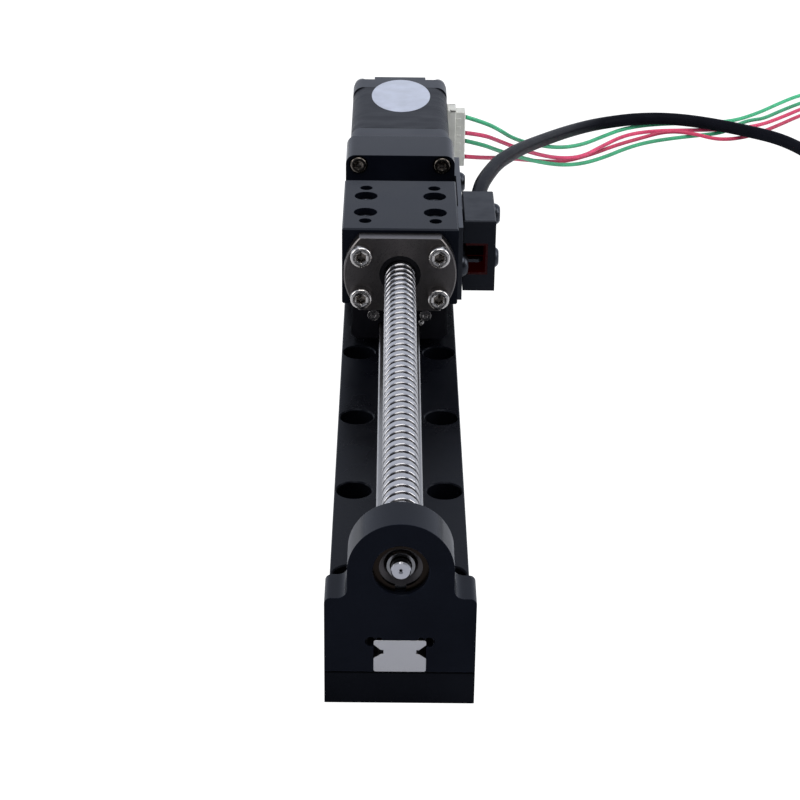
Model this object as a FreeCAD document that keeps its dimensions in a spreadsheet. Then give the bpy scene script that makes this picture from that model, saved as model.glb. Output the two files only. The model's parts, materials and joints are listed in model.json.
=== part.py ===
import FreeCAD, Part
import math
import os
import Sketcher

# Ball screw linear actuator, in millimetres.
# X is across the base, Y runs from the front bearing block to the motor, Z is up.
# The origin is the centre of the base plate's underside.

Vector = FreeCAD.Vector
doc = FreeCAD.newDocument("Actuator")
sheet = doc.addObject("Spreadsheet::Sheet", "Sizes")


class Size:
    """A number of the model together with the sheet expression that gives it."""

    def __init__(self, value, text=None):
        self.value = float(value)
        self.text = text or f"({float(value)})"

    def __add__(self, other):
        other = size(other)
        return Size(self.value + other.value, f"({self.text} + {other.text})")

    def __sub__(self, other):
        other = size(other)
        return Size(self.value - other.value, f"({self.text} - {other.text})")

    def __mul__(self, other):
        other = size(other)
        return Size(self.value * other.value, f"({self.text} * {other.text})")

    def __truediv__(self, other):
        other = size(other)
        return Size(self.value / other.value, f"({self.text} / {other.text})")

    def __neg__(self):
        return Size(-self.value, f"(0 - {self.text})")

    def __radd__(self, other):
        return size(other) + self

    def __rsub__(self, other):
        return size(other) - self

    def __rmul__(self, other):
        return size(other) * self


def size(number):
    return number if isinstance(number, Size) else Size(number)


def cos_deg(angle):
    return Size(math.cos(math.radians(angle.value)), f"cos({angle.text} * 1 deg)")


def sin_deg(angle):
    return Size(math.sin(math.radians(angle.value)), f"sin({angle.text} * 1 deg)")


DRIVING_SIZES = {
    # base plate
    "base_wide": 30.0, "base_thick": 7.6, "base_edge": 0.2, "hole_edge": 0.3,
    "bolt_spread": 20.8, "bolt_first": 37.3, "bolt_pitch": 37.5, "bolt_rows": 5,
    "bolt_bore": 4.5, "bolt_head_bore": 8.0, "bolt_head_depth": 4.6,
    # guide rail
    "rail_wide": 10.4, "rail_tall": 7.3, "rail_edge": 0.3, "rail_lip": 0.7,
    "rail_vee_deep": 1.4, "rail_vee_drop": 1.2, "rail_slot_deep": 1.95, "rail_slot_tall": 1.0,
    "rail_vee_low": 1.0, "rail_bolt_first": 16.0, "rail_bolt_pitch": 25.0, "rail_gap": 0.5,
    # screw line
    "screw_high": 30.8, "screw_dia": 8.0, "stroke": 130.0, "over_travel": 2.0,
    "front_journal": 4.0, "rear_journal": 5.0, "collar_dia": 5.6, "collar_long": 0.6,
    "fit_gap": 0.05, "joint_gap": 0.3, "thread_gap": 0.05,
    # front bearing block
    "block_long": 9.0, "shoulder_high": 24.6, "arch_dia": 21.0, "arch_fillet": 2.0,
    "shoulder_round": 1.3, "rail_relief": 1.15, "rail_relief_small": 0.7,
    "front_bearing_dia": 11.0, "front_bearing_long": 4.0, "ring_thick": 0.7,
    "ring_wide": 1.2, "ring_bite": 0.3, "ring_setback": 1.4, "block_back_bore": 8.8,
    # motor mount
    "mount_at": 197.2, "mount_long": 16.0, "mount_rise": 14.3, "mount_round": 2.6,
    "rear_bearing_dia": 13.0, "rear_bearing_long": 4.0, "mount_wall": 1.5, "mount_neck": 9.0,
    "coupling_room": 17.0, "coupling_dia": 14.0, "coupling_long": 7.0,
    "motor_spread": 23.0, "motor_bolt": 2.5, "mount_head_bore": 5.2, "mount_head_depth": 2.0,
    # motor
    "motor_wide": 28.2, "pilot_dia": 22.0, "pilot_long": 1.5, "bell_round": 3.2,
    "front_bell_long": 7.2, "stator_long": 37.4, "stator_round": 4.2, "rear_bell_long": 7.8,
    "rear_pad_long": 2.3, "rear_pad_wide": 15.4, "motor_shaft": 5.0, "shaft_reach": 5.2,
    "rotor_dia": 15.0, "rotor_gap": 0.1, "motor_bearing_dia": 13.0, "motor_bearing_long": 4.0,
    "motor_inner_ring": 7.6,
    # motor connector
    "plug_high": 31.2, "plug_tall": 18.6, "plug_deep": 6.4, "plug_at": 249.8,
    "header_reach": 2.6, "plug_reach": 3.0, "plug_pitch": 2.5,
    # ball nut
    "nut_at": 147.1, "flange_dia": 29.0, "flange_flats": 20.0, "flange_thick": 4.0,
    "nut_dia": 14.0, "nut_long": 20.0, "nut_inset": 3.0, "nut_angle": 30.0, "nut_hole": 3.4,
    "seal_dia": 10.6, "seal_thick": 1.2,
    # carriage
    "carriage_long": 35.5, "carriage_low": 21.0, "carriage_top": 41.85,
    "carriage_edge": 0.4, "carriage_neck": 10.0, "load_spread": 18.2, "load_pitch": 23.9,
    "load_bore": 3.3, "load_deep": 8.0, "guide_pitch": 11.8, "guide_head_bore": 6.1,
    "guide_head_deep": 4.5,
    # guide block under the carriage
    "guide_wide": 25.4, "guide_long": 28.0, "guide_edge": 0.8, "guide_lift": 2.4,
    "cap_long": 2.6, "cap_step": 0.6, "cap_screw_spread": 13.6, "cap_screw_drop": 3.4,
    # home flag
    "flag_thick": 1.2, "flag_setback": 2.9, "flag_long": 15.2, "tongue_thick": 0.8,
    "tongue_reach": 5.6, "flag_screw_high": 29.4, "flag_screw_pitch": 8.6,
    # home sensor
    "sensor_at": 160.2, "sensor_long": 22.0, "sensor_wide": 8.4, "sensor_tall": 19.7,
    "sensor_low": 21.0, "sensor_gap": 1.6, "slot_low": 25.6, "slot_tall": 8.8, "slot_wall": 2.0,
    "slot_deep": 12.0, "window_thick": 0.6, "sensor_hole_pitch": 12.4, "sensor_hole_back": 14.4,
    "sensor_edge": 0.3, "bracket_thick": 1.2, "bracket_tall": 17.0, "bracket_low": 22.4,
    "bracket_hole_back": 8.0, "cable_high": 36.6, "cable_dia": 4.2, "gland_dia": 5.6,
    "gland_long": 5.0,
    # fasteners
    "small_bolt": 3.0, "small_head": 5.5, "small_hex": 2.5, "block_bolt": 4.0,
    "block_head": 7.0, "block_hex": 3.0, "block_head_bore": 7.6, "block_head_deep": 4.2,
    "block_bolt_spread": 20.0, "mount_head": 4.5, "mount_hex": 2.0, "button_head": 5.7,
    "button_tall": 1.6, "cap_screw": 1.6, "cap_screw_head": 3.0, "bolt_play": 0.4,
    "thread_play": 0.1,
    # free leads
    "wire_dia": 1.3,
}


def fill_sheet():
    """Writes every driving size into the sheet and hands each back with its expression."""
    for row, (name, value) in enumerate(DRIVING_SIZES.items(), start=1):
        sheet.set(f"A{row}", name)
        sheet.set(f"B{row}", str(value))
        sheet.setAlias(f"B{row}", name)
    doc.recompute()
    return {name: Size(sheet.get(name), f"Sizes.{name}") for name in DRIVING_SIZES}


class Names:
    """Gives the driving sizes as attributes."""


S = Names()
S.__dict__.update(fill_sheet())

# places that several pieces share
base_long = S.mount_at + S.mount_long
front = -base_long / 2
half_wide = S.base_wide / 2
rail_top = S.base_thick + S.rail_tall
mount_face = front + S.mount_at
mount_back = mount_face + S.mount_long
nut_face = front + S.nut_at
carriage_face = nut_face + S.flange_thick
carriage_back = carriage_face + S.carriage_long
carriage_mid = carriage_face + S.carriage_long / 2 - 0.2
carriage_half = half_wide
motor_half = S.motor_wide / 2
stator_at = mount_back + S.front_bell_long
rear_bell_at = stator_at + S.stator_long
motor_end = rear_bell_at + S.rear_bell_long
sensor_x = carriage_half + S.sensor_gap
sensor_face = front + S.sensor_at
sensor_top = S.sensor_low + S.sensor_tall


def bind(thing, path, amount):
    """Ties one property of an object to a sheet expression."""
    thing.setExpression(path, size(amount).text)


def place(thing, x, y, z, rotation=FreeCAD.Rotation()):
    x, y, z = size(x), size(y), size(z)
    thing.Placement = FreeCAD.Placement(Vector(x.value, y.value, z.value), rotation)
    bind(thing, "Placement.Base.x", x)
    bind(thing, "Placement.Base.y", y)
    bind(thing, "Placement.Base.z", z)


def new_body(label):
    body = doc.addObject("PartDesign::Body", label)
    body.Label = label
    return body


def sketch_on(body, role, name, offset=0):
    """Starts a sketch on one of the body's own origin planes, moved along its normal."""
    sketch = body.newObject("Sketcher::SketchObject", name)
    plane = next(item for item in body.Origin.OriginFeatures if item.Role == role)
    sketch.AttachmentSupport = [(plane, "")]
    sketch.MapMode = "FlatFace"
    offset = size(offset)
    sketch.AttachmentOffset = FreeCAD.Placement(Vector(0, 0, offset.value), FreeCAD.Rotation())
    bind(sketch, "AttachmentOffset.Base.z", offset)
    return sketch


def pin_point(sketch, geometry, end, x, y):
    """Holds one sketch point at a place measured from the sketch's origin."""
    for kind, axis, amount in (("DistanceX", -2, size(x)), ("DistanceY", -1, size(y))):
        if abs(amount.value) < 1e-9:
            sketch.addConstraint(Sketcher.Constraint("PointOnObject", geometry, end, axis))
            continue
        index = sketch.addConstraint(
            Sketcher.Constraint(kind, -1, 1, geometry, end, amount.value))
        bind(sketch, f"Constraints[{index}]", amount)


def pin_radius(sketch, geometry, radius):
    index = sketch.addConstraint(Sketcher.Constraint("Radius", geometry, radius.value))
    bind(sketch, f"Constraints[{index}]", radius)


def outline(sketch, corners):
    """Draws a closed outline. A corner is (x, y), or (x, y, radius, side) where the run to the
    next corner is an arc; side is 1 where the arc's centre lies left of that run, else -1."""
    runs = []
    for number, corner in enumerate(corners):
        following = corners[(number + 1) % len(corners)]
        start = Vector(size(corner[0]).value, size(corner[1]).value, 0)
        stop = Vector(size(following[0]).value, size(following[1]).value, 0)
        if len(corner) == 2:
            geometry = sketch.addGeometry(Part.LineSegment(start, stop))
            runs.append((geometry, 1, 2))
            continue
        radius, side = size(corner[2]), corner[3]
        chord = stop - start
        height = math.sqrt(max(radius.value ** 2 - (chord.Length / 2) ** 2, 0.0))
        left = Vector(-chord.y, chord.x, 0).normalize()
        centre = (start + stop) / 2 + left * (height * side)
        circle = Part.Circle(centre, Vector(0, 0, 1), radius.value)
        first, last = (start, stop) if side > 0 else (stop, start)
        angles = [math.atan2(point.y - centre.y, point.x - centre.x) for point in (first, last)]
        geometry = sketch.addGeometry(Part.ArcOfCircle(circle, angles[0], angles[1]))
        runs.append((geometry, 1, 2) if side > 0 else (geometry, 2, 1))
    for number, (geometry, begin, end) in enumerate(runs):
        after, after_begin, after_end = runs[(number + 1) % len(runs)]
        sketch.addConstraint(Sketcher.Constraint("Coincident", geometry, end, after, after_begin))
        pin_point(sketch, geometry, begin, corners[number][0], corners[number][1])
        if len(corners[number]) > 2:
            pin_radius(sketch, geometry, size(corners[number][2]))
    return sketch


def circles(sketch, centres, diameter):
    for x, y in centres:
        middle = Vector(size(x).value, size(y).value, 0)
        radius = size(diameter) / 2
        geometry = sketch.addGeometry(Part.Circle(middle, Vector(0, 0, 1), radius.value))
        pin_radius(sketch, geometry, radius)
        pin_point(sketch, geometry, 3, x, y)
    return sketch


def rectangle(x_low, y_low, x_high, y_high):
    return [(x_low, y_low), (x_high, y_low), (x_high, y_high), (x_low, y_high)]


def rounded_rectangle(x_low, y_low, x_high, y_high, radius):
    """Corners of a rectangle with its four corners rounded."""
    return [(x_low + radius, y_low), (x_high - radius, y_low, radius, 1),
            (x_high, y_low + radius), (x_high, y_high - radius, radius, 1),
            (x_high - radius, y_high), (x_low + radius, y_high, radius, 1),
            (x_low, y_high - radius), (x_low, y_low + radius, radius, 1)]


def pad(body, sketch, length, backwards=False):
    feature = body.newObject("PartDesign::Pad", sketch.Name + "_pad")
    feature.Profile = sketch
    feature.Reversed = backwards
    bind(feature, "Length", length)
    feature.Length = size(length).value
    sketch.Visibility = False
    doc.recompute()
    return feature


def pocket(body, sketch, length=None, backwards=False):
    """Cuts along the sketch, through the whole body where no length is given."""
    before = body.Shape.Volume
    feature = body.newObject("PartDesign::Pocket", sketch.Name + "_cut")
    feature.Profile = sketch
    feature.Reversed = backwards
    if length is None:
        feature.Type = "ThroughAll"
    else:
        feature.Length = size(length).value
        bind(feature, "Length", length)
    doc.recompute()
    if body.Shape.Volume > before - 1e-3:
        raise RuntimeError(f"{feature.Name} cuts nothing")
    return feature


def along_y(body, features, name, length, copies):
    """Repeats features along the base, and makes the pattern the body's result."""
    pattern = body.newObject("PartDesign::LinearPattern", name)
    pattern.Originals = features
    axis = next(item for item in body.Origin.OriginFeatures if item.Role == "Y_Axis")
    pattern.Direction = (axis, [""])
    pattern.Length = size(length).value
    bind(pattern, "Length", length)
    pattern.Occurrences = int(round(size(copies).value))
    bind(pattern, "Occurrences", copies)
    body.Tip = pattern
    doc.recompute()
    return pattern


def dress(body, kind, amount, test):
    """Chamfers or fillets the edges of the body that pass a test."""
    base = body.Tip
    names = [f"Edge{number}" for number, edge in enumerate(base.Shape.Edges, start=1) if test(edge)]
    feature = body.newObject(f"PartDesign::{kind}", f"{body.Label}_{kind.lower()}")
    feature.Base = (base, names)
    path = "Size" if kind == "Chamfer" else "Radius"
    setattr(feature, path, size(amount).value)
    bind(feature, path, amount)
    body.Tip = feature
    doc.recompute()
    if "Invalid" in feature.State:
        raise RuntimeError(f"{feature.Name} failed")
    return feature


def level(edge, axis, value):
    """True where an edge lies wholly in the plane axis = value."""
    box = edge.BoundBox
    low, high = (getattr(box, axis + "Min"), getattr(box, axis + "Max"))
    return abs(low - value) < 1e-4 and abs(high - value) < 1e-4


def turned(label, profile, x, y, z):
    """A piece turned about the Y direction. The profile is (radius, distance along Y)."""
    body = new_body(label)
    sketch = outline(sketch_on(body, "XY_Plane", label + "_profile"), profile)
    feature = body.newObject("PartDesign::Revolution", label + "_turned")
    feature.Profile = sketch
    feature.ReferenceAxis = (sketch, ["V_Axis"])
    feature.Angle = 360.0
    place(body, x, y, z)
    doc.recompute()
    return body


def ring_profile(inner, outer, low, high):
    return rectangle(size(inner), size(low), size(outer), size(high))


def bored(body, name, steps, z):
    """Cuts a stepped bore about a Y line at height z. Steps are (distance along Y, radius)."""
    before = body.Shape.Volume
    sketch = sketch_on(body, "YZ_Plane", name)
    first, last = steps[0][0], steps[-1][0]
    corners = [(along, z + radius) for along, radius in steps]
    outline(sketch, [(first, z)] + corners + [(last, z)])
    axis = sketch.addGeometry(Part.LineSegment(Vector(size(first).value, size(z).value, 0),
                                               Vector(size(last).value, size(z).value, 0)), True)
    pin_point(sketch, axis, 1, first, z)
    pin_point(sketch, axis, 2, last, z)
    feature = body.newObject("PartDesign::Groove", name + "_cut")
    feature.Profile = sketch
    feature.ReferenceAxis = (sketch, ["Axis0"])
    feature.Angle = 360.0
    doc.recompute()
    if body.Shape.Volume > before - 1e-3:
        raise RuntimeError(f"{feature.Name} cuts nothing")
    return feature


TURNS = {
    "up": FreeCAD.Rotation(),
    "down": FreeCAD.Rotation(Vector(1, 0, 0), 180),
    "front": FreeCAD.Rotation(Vector(1, 0, 0), 90),
    "back": FreeCAD.Rotation(Vector(1, 0, 0), -90),
    "right": FreeCAD.Rotation(Vector(0, 1, 0), 90),
    "left": FreeCAD.Rotation(Vector(0, 1, 0), -90),
}


def cylinder(name, diameter, height, bottom):
    thing = doc.addObject("Part::Cylinder", name)
    bind(thing, "Radius", size(diameter) / 2)
    bind(thing, "Height", height)
    place(thing, 0, 0, bottom)
    return thing


def cap_screws(label, places, facing, shank, reach, head, head_tall, hexagon):
    """Socket head screws that share a node. A place is the centre of the head's seat, and facing
    is where the head points."""
    screws = []
    for number, (x, y, z) in enumerate(places, start=1):
        name = f"{label}_{number}"
        parts = [cylinder(name + "_head", head, head_tall, 0),
                 cylinder(name + "_shank", shank, reach, -size(reach))]
        blank = doc.addObject("Part::MultiFuse", name + "_blank")
        blank.Shapes = parts
        socket = doc.addObject("Part::Prism", name + "_socket")
        socket.Polygon = 6
        bind(socket, "Circumradius", size(hexagon) / 2 / cos_deg(Size(30)))
        bind(socket, "Height", size(head_tall))
        place(socket, 0, 0, size(head_tall) * 0.4)
        screw = doc.addObject("Part::Cut", name)
        screw.Base = blank
        screw.Tool = socket
        place(screw, x, y, z, TURNS[facing])
        screws.append(screw)
    group = doc.addObject("Part::Compound", label)
    group.Links = screws
    group.Label = label
    return group


# Base plate

def make_base_plate():
    body = new_body("base_plate")
    blank = outline(sketch_on(body, "XY_Plane", "base_blank"),
                    rectangle(-half_wide, front, half_wide, -front))
    pad(body, blank, S.base_thick)
    dress(body, "Chamfer", S.base_edge,
          lambda edge: level(edge, "Z", S.base_thick.value) or level(edge, "Z", 0))
    row = [(side * S.bolt_spread / 2, front + S.bolt_first) for side in (-1, 1)]
    bores = pocket(body, circles(sketch_on(body, "XY_Plane", "bolt_bores", S.base_thick),
                                 row, S.bolt_bore))
    heads = pocket(body, circles(sketch_on(body, "XY_Plane", "bolt_heads", S.base_thick),
                                 row, S.bolt_head_bore), S.bolt_head_depth)
    along_y(body, [bores, heads], "bolt_rows", S.bolt_pitch * (S.bolt_rows - 1), S.bolt_rows)
    mouth = S.bolt_head_bore.value / 2
    dress(body, "Chamfer", S.hole_edge,
          lambda edge: level(edge, "Z", S.base_thick.value) and hasattr(edge.Curve, "Radius")
          and abs(edge.Curve.Radius - mouth) < 1e-4)
    feet = [(side * S.block_bolt_spread / 2, along) for side in (-1, 1) for along in block_bolt_rows()]
    pocket(body, circles(sketch_on(body, "XY_Plane", "block_bolt_bores"), feet,
                         S.block_bolt + S.bolt_play), backwards=True)
    pocket(body, circles(sketch_on(body, "XY_Plane", "block_head_bores"), feet,
                         S.block_head_bore), S.block_head_deep, backwards=True)
    pocket(body, circles(sketch_on(body, "XY_Plane", "rail_threads", S.base_thick),
                         [(0, along) for along in rail_bolt_rows()],
                         S.small_bolt + S.thread_play), S.base_thick * 0.7)


def block_bolt_rows():
    """Where the screws from below hold the front block and the motor mount."""
    return [front + S.block_long / 2, mount_face + S.mount_long / 2]


def rail_bolt_rows():
    rows = []
    length = S.mount_at.value - S.rail_bolt_first.value
    for number in range(int(length // S.rail_bolt_pitch.value) + 1):
        rows.append(front + S.rail_bolt_first + S.rail_bolt_pitch * number)
    return rows


# Guide rail

def rail_side(grow):
    """Right half of the rail's section from the top down, each face moved out by grow."""
    half = S.rail_wide / 2 + grow
    top = rail_top + grow
    lip = rail_top - S.rail_edge - S.rail_lip + grow * 0.4
    vee = rail_top - S.rail_edge - S.rail_lip - S.rail_vee_drop + grow * 0.4
    slot = vee - S.rail_slot_tall + grow * 0.4
    low = slot - S.rail_vee_low
    return [(half - S.rail_edge, top), (half, top - S.rail_edge), (half, lip),
            (half - S.rail_vee_deep, vee), (half, low)]


def make_guide_rail():
    body = new_body("guide_rail")
    half = S.rail_wide / 2
    side = rail_side(size(0))
    vee = side[3][1]
    slot = vee - S.rail_slot_tall
    right = side[:4] + [(half - S.rail_slot_deep, vee), (half - S.rail_slot_deep, slot),
                        (half - S.rail_vee_deep, slot), (half, slot - S.rail_vee_low),
                        (half, S.base_thick + S.rail_edge), (half - S.rail_edge, S.base_thick)]
    left = [(-x, z) for x, z in reversed(right)]
    profile = outline(sketch_on(body, "XZ_Plane", "rail_profile", -front), right + left)
    pad(body, profile, S.mount_at - S.rail_gap, backwards=True)
    rows = [(0, along) for along in rail_bolt_rows()]
    pocket(body, circles(sketch_on(body, "XY_Plane", "rail_bores", rail_top), rows,
                         S.small_bolt + S.bolt_play))
    pocket(body, circles(sketch_on(body, "XY_Plane", "rail_heads", rail_top), rows,
                         S.small_head + S.bolt_play), S.small_bolt + 0.5)


def make_rail_screws():
    seat = rail_top - S.small_bolt - 0.5
    reach = seat - S.base_thick * 0.4
    cap_screws("rail_screws", [(0, along, seat) for along in rail_bolt_rows()], "up",
               S.small_bolt, reach, S.small_head, S.small_bolt, S.small_hex)


# Front bearing block

def make_front_block():
    body = new_body("front_block")
    arch = S.arch_dia / 2
    fillet = S.arch_fillet
    rounding = S.shoulder_round
    low = S.base_thick
    outer = [(-half_wide, low), (half_wide, low),
             (half_wide, S.shoulder_high - rounding, rounding, 1),
             (half_wide - rounding, S.shoulder_high),
             (arch + fillet, S.shoulder_high, fillet, -1),
             (arch, S.shoulder_high + fillet), (arch, S.screw_high, arch, 1),
             (size(0), S.screw_high + arch, arch, 1),
             (-arch, S.screw_high), (-arch, S.shoulder_high + fillet, fillet, -1),
             (-arch - fillet, S.shoulder_high),
             (-half_wide + rounding, S.shoulder_high, rounding, 1),
             (-half_wide, S.shoulder_high - rounding)]
    pad(body, outline(sketch_on(body, "XZ_Plane", "block_face", -front), outer),
        S.block_long, backwards=True)
    gap = S.fit_gap
    half = S.rail_wide / 2 + gap
    window = outline(sketch_on(body, "XZ_Plane", "rail_window", -front),
                     rectangle(-half, low - 1, half, rail_top + gap))
    pocket(body, window)
    large = [(side * (S.rail_wide / 2 + S.rail_relief * 0.5), rail_top - S.rail_relief * 0.3)
             for side in (-1, 1)]
    small = [(side * (S.rail_wide / 2 - S.rail_relief_small * 1.5), rail_top + gap)
             for side in (-1, 1)]
    pocket(body, circles(sketch_on(body, "XZ_Plane", "rail_reliefs", -front), large,
                         S.rail_relief * 2))
    pocket(body, circles(sketch_on(body, "XZ_Plane", "rail_notches", -front), small,
                         S.rail_relief_small * 2))
    seat = S.front_bearing_dia / 2
    ring_at = front + S.ring_setback
    ring_end = ring_at + S.ring_thick
    shoulder = ring_end + S.front_bearing_long
    bored(body, "block_bore", [
        (front, seat + 0.2), (front + 0.2, seat), (ring_at, seat), (ring_at, seat + S.ring_bite),
        (ring_end, seat + S.ring_bite), (ring_end, seat), (shoulder, seat),
        (shoulder, S.block_back_bore / 2), (front + S.block_long, S.block_back_bore / 2)],
        S.screw_high)
    feet = [(side * S.block_bolt_spread / 2, front + S.block_long / 2) for side in (-1, 1)]
    pocket(body, circles(sketch_on(body, "XY_Plane", "block_threads", low), feet,
                         S.block_bolt + S.thread_play), S.block_bolt * 3, backwards=True)


def make_block_screws():
    places = [(side * S.block_bolt_spread / 2, along, S.block_head_deep)
              for side in (-1, 1) for along in block_bolt_rows()]
    cap_screws("block_screws", places, "down", S.block_bolt,
               S.base_thick - S.block_head_deep + S.block_bolt * 2,
               S.block_head, S.block_bolt - 0.2, S.block_hex)


def bearing(name, outer, inner, split, length, along):
    """A shielded ball bearing as its outer and inner rings, with a running gap between them."""
    turned(name + "_outer", ring_profile(split + S.fit_gap, outer / 2, 0, length),
           0, along, S.screw_high)
    turned(name + "_inner", ring_profile(inner / 2, split, 0, length), 0, along, S.screw_high)


def make_front_bearing():
    ring_at = front + S.ring_setback
    bearing("front_bearing", S.front_bearing_dia, S.front_journal,
            (S.front_journal + S.front_bearing_dia) / 4 - 0.5, S.front_bearing_long,
            ring_at + S.ring_thick)
    outer = S.front_bearing_dia / 2 + S.ring_bite
    inner = outer - S.ring_bite - S.ring_wide
    body = turned("front_retaining_ring", ring_profile(inner, outer, 0, S.ring_thick),
                  0, ring_at, S.screw_high)
    gap = S.ring_wide * 0.9
    pocket(body, outline(sketch_on(body, "XZ_Plane", "ring_gap"),
                         rectangle(-gap, -outer - 1, gap, -inner + 1)))


# Motor mount

def make_motor_mount():
    body = new_body("motor_mount")
    top = S.screw_high + S.mount_rise
    rounding = S.mount_round
    face = [(-half_wide, S.base_thick), (half_wide, S.base_thick),
            (half_wide, top - rounding, rounding, 1), (half_wide - rounding, top),
            (-half_wide + rounding, top, rounding, 1), (-half_wide, top - rounding)]
    pad(body, outline(sketch_on(body, "XZ_Plane", "mount_face", -mount_face), face),
        S.mount_long, backwards=True)
    seat = S.rear_bearing_dia / 2
    ring_end = mount_face + S.ring_thick + 0.1
    wall = ring_end + S.rear_bearing_long
    room = S.coupling_room / 2
    pilot = mount_back - S.pilot_long - 0.2
    bored(body, "mount_bore", [
        (mount_face, seat), (mount_face + 0.1, seat), (mount_face + 0.1, seat + S.ring_bite),
        (ring_end, seat + S.ring_bite), (ring_end, seat), (wall, seat), (wall, S.mount_neck / 2),
        (wall + S.mount_wall, S.mount_neck / 2), (wall + S.mount_wall, room), (pilot, room),
        (pilot, S.pilot_dia / 2 + S.fit_gap), (mount_back, S.pilot_dia / 2 + S.fit_gap)],
        S.screw_high)
    pocket(body, circles(sketch_on(body, "XZ_Plane", "mount_bolt_bores", -mount_face),
                         motor_bolt_places(), S.motor_bolt + S.bolt_play))
    pocket(body, circles(sketch_on(body, "XZ_Plane", "mount_head_bores", -mount_face),
                         motor_bolt_places(), S.mount_head_bore), S.mount_head_depth)
    feet = [(side * S.block_bolt_spread / 2, mount_face + S.mount_long / 2) for side in (-1, 1)]
    pocket(body, circles(sketch_on(body, "XY_Plane", "mount_threads", S.base_thick), feet,
                         S.block_bolt + S.thread_play), S.block_bolt * 2.2, backwards=True)
    pocket(body, circles(sketch_on(body, "YZ_Plane", "bracket_threads", half_wide),
                         bracket_screw_places(), S.small_bolt + S.thread_play), 3.6)


def motor_bolt_places():
    half = S.motor_spread / 2
    return [(x * half, S.screw_high + z * half) for x in (-1, 1) for z in (-1, 1)]


def bracket_screw_places():
    """Where two screws hold the sensor bracket to the mount's side, as (Y, Z)."""
    along = mount_face + S.bracket_hole_back
    middle = S.bracket_low + S.bracket_tall / 2
    return [(along, middle - 3.6), (along, middle + 3.6)]


def make_mount_screws():
    seat = mount_face + S.mount_head_depth
    cap_screws("mount_screws", [(x, seat, z) for x, z in motor_bolt_places()], "front",
               S.motor_bolt, S.mount_long - S.mount_head_depth + S.front_bell_long * 0.5,
               S.mount_head, S.motor_bolt, S.mount_hex)


def make_rear_bearing():
    ring_end = mount_face + S.ring_thick + 0.1
    bearing("rear_bearing", S.rear_bearing_dia, S.rear_journal,
            (S.rear_journal + S.rear_bearing_dia) / 4 - 0.6, S.rear_bearing_long, ring_end)
    outer = S.rear_bearing_dia / 2 + S.ring_bite
    turned("rear_retaining_ring",
           ring_profile(outer - S.ring_bite - S.ring_wide, outer, 0, S.ring_thick),
           0, mount_face + 0.1, S.screw_high)


# Screw, coupling and motor shaft, which all turn together

def screw_ends():
    """Where the screw's full diameter begins and ends along Y."""
    start = front + S.ring_setback + S.ring_thick + S.front_bearing_long + S.collar_long
    stop = mount_face - S.collar_long
    return start, stop


def make_ball_screw():
    start, stop = screw_ends()
    bearing_at = mount_face + S.ring_thick + 0.1
    wall = bearing_at + S.rear_bearing_long + S.mount_wall
    tip = wall + S.joint_gap * 2 + S.coupling_long * 0.45
    front_r, rear_r = S.front_journal / 2, S.rear_journal / 2
    collar, full = S.collar_dia / 2, S.screw_dia / 2
    dot = S.front_journal * 0.13
    turned("ball_screw", [
        (size(0), front + dot), (dot, front), (front_r - 0.2, front), (front_r, front + 0.2),
        (front_r, start - S.collar_long), (collar, start - S.collar_long), (collar, start),
        (full - 0.6, start), (full, start + 0.6), (full, stop - 0.6), (full - 0.6, stop),
        (rear_r + 0.6, stop), (rear_r + 0.6, bearing_at), (rear_r, bearing_at),
        (rear_r, tip - 0.3), (rear_r - 0.3, tip), (size(0), tip)],
        0, 0, S.screw_high)


def make_coupling():
    wall = mount_face + S.ring_thick + 0.1 + S.rear_bearing_long + S.mount_wall
    along = wall + S.joint_gap * 2
    body = turned("shaft_coupling",
                  ring_profile(S.rear_journal / 2, S.coupling_dia / 2, 0, S.coupling_long),
                  0, along, S.screw_high)
    slit = outline(sketch_on(body, "XZ_Plane", "coupling_slit"),
                   rectangle(-0.4, S.rear_journal * 0.2, 0.4, S.coupling_dia))
    pocket(body, slit)
    return along


def make_motor_shaft():
    reach = mount_back - S.shaft_reach
    turned("motor_shaft", [
        (size(0), reach), (S.motor_shaft / 2 - 0.3, reach), (S.motor_shaft / 2, reach + 0.3),
        (S.motor_shaft / 2, rear_bell_at + S.motor_bearing_long + 0.4),
        (size(0), rear_bell_at + S.motor_bearing_long + 0.4)], 0, 0, S.screw_high)
    start = stator_at + 1.5
    stop = rear_bell_at - 1.5
    turned("motor_rotor", ring_profile(S.motor_shaft / 2, S.rotor_dia / 2, start, stop),
           0, 0, S.screw_high)


# Motor housing

def motor_square(rounding):
    return rounded_rectangle(-motor_half, S.screw_high - motor_half, motor_half,
                             S.screw_high + motor_half, rounding)


def make_front_bell():
    body = new_body("motor_front_bell")
    pad(body, outline(sketch_on(body, "XZ_Plane", "front_bell_face", -mount_back),
                      motor_square(S.bell_round)), S.front_bell_long, backwards=True)
    pad(body, circles(sketch_on(body, "XZ_Plane", "pilot_boss", -mount_back),
                      [(0, S.screw_high)], S.pilot_dia), S.pilot_long)
    seat = stator_at - S.motor_bearing_long
    bored(body, "front_bell_bore", [
        (mount_back - S.pilot_long, S.motor_shaft / 2 + 0.3),
        (seat, S.motor_shaft / 2 + 0.3), (seat, S.motor_bearing_dia / 2),
        (stator_at, S.motor_bearing_dia / 2)], S.screw_high)
    pocket(body, circles(sketch_on(body, "XZ_Plane", "front_bell_threads", -mount_back),
                         motor_bolt_places(), S.motor_bolt + S.thread_play))


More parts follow.
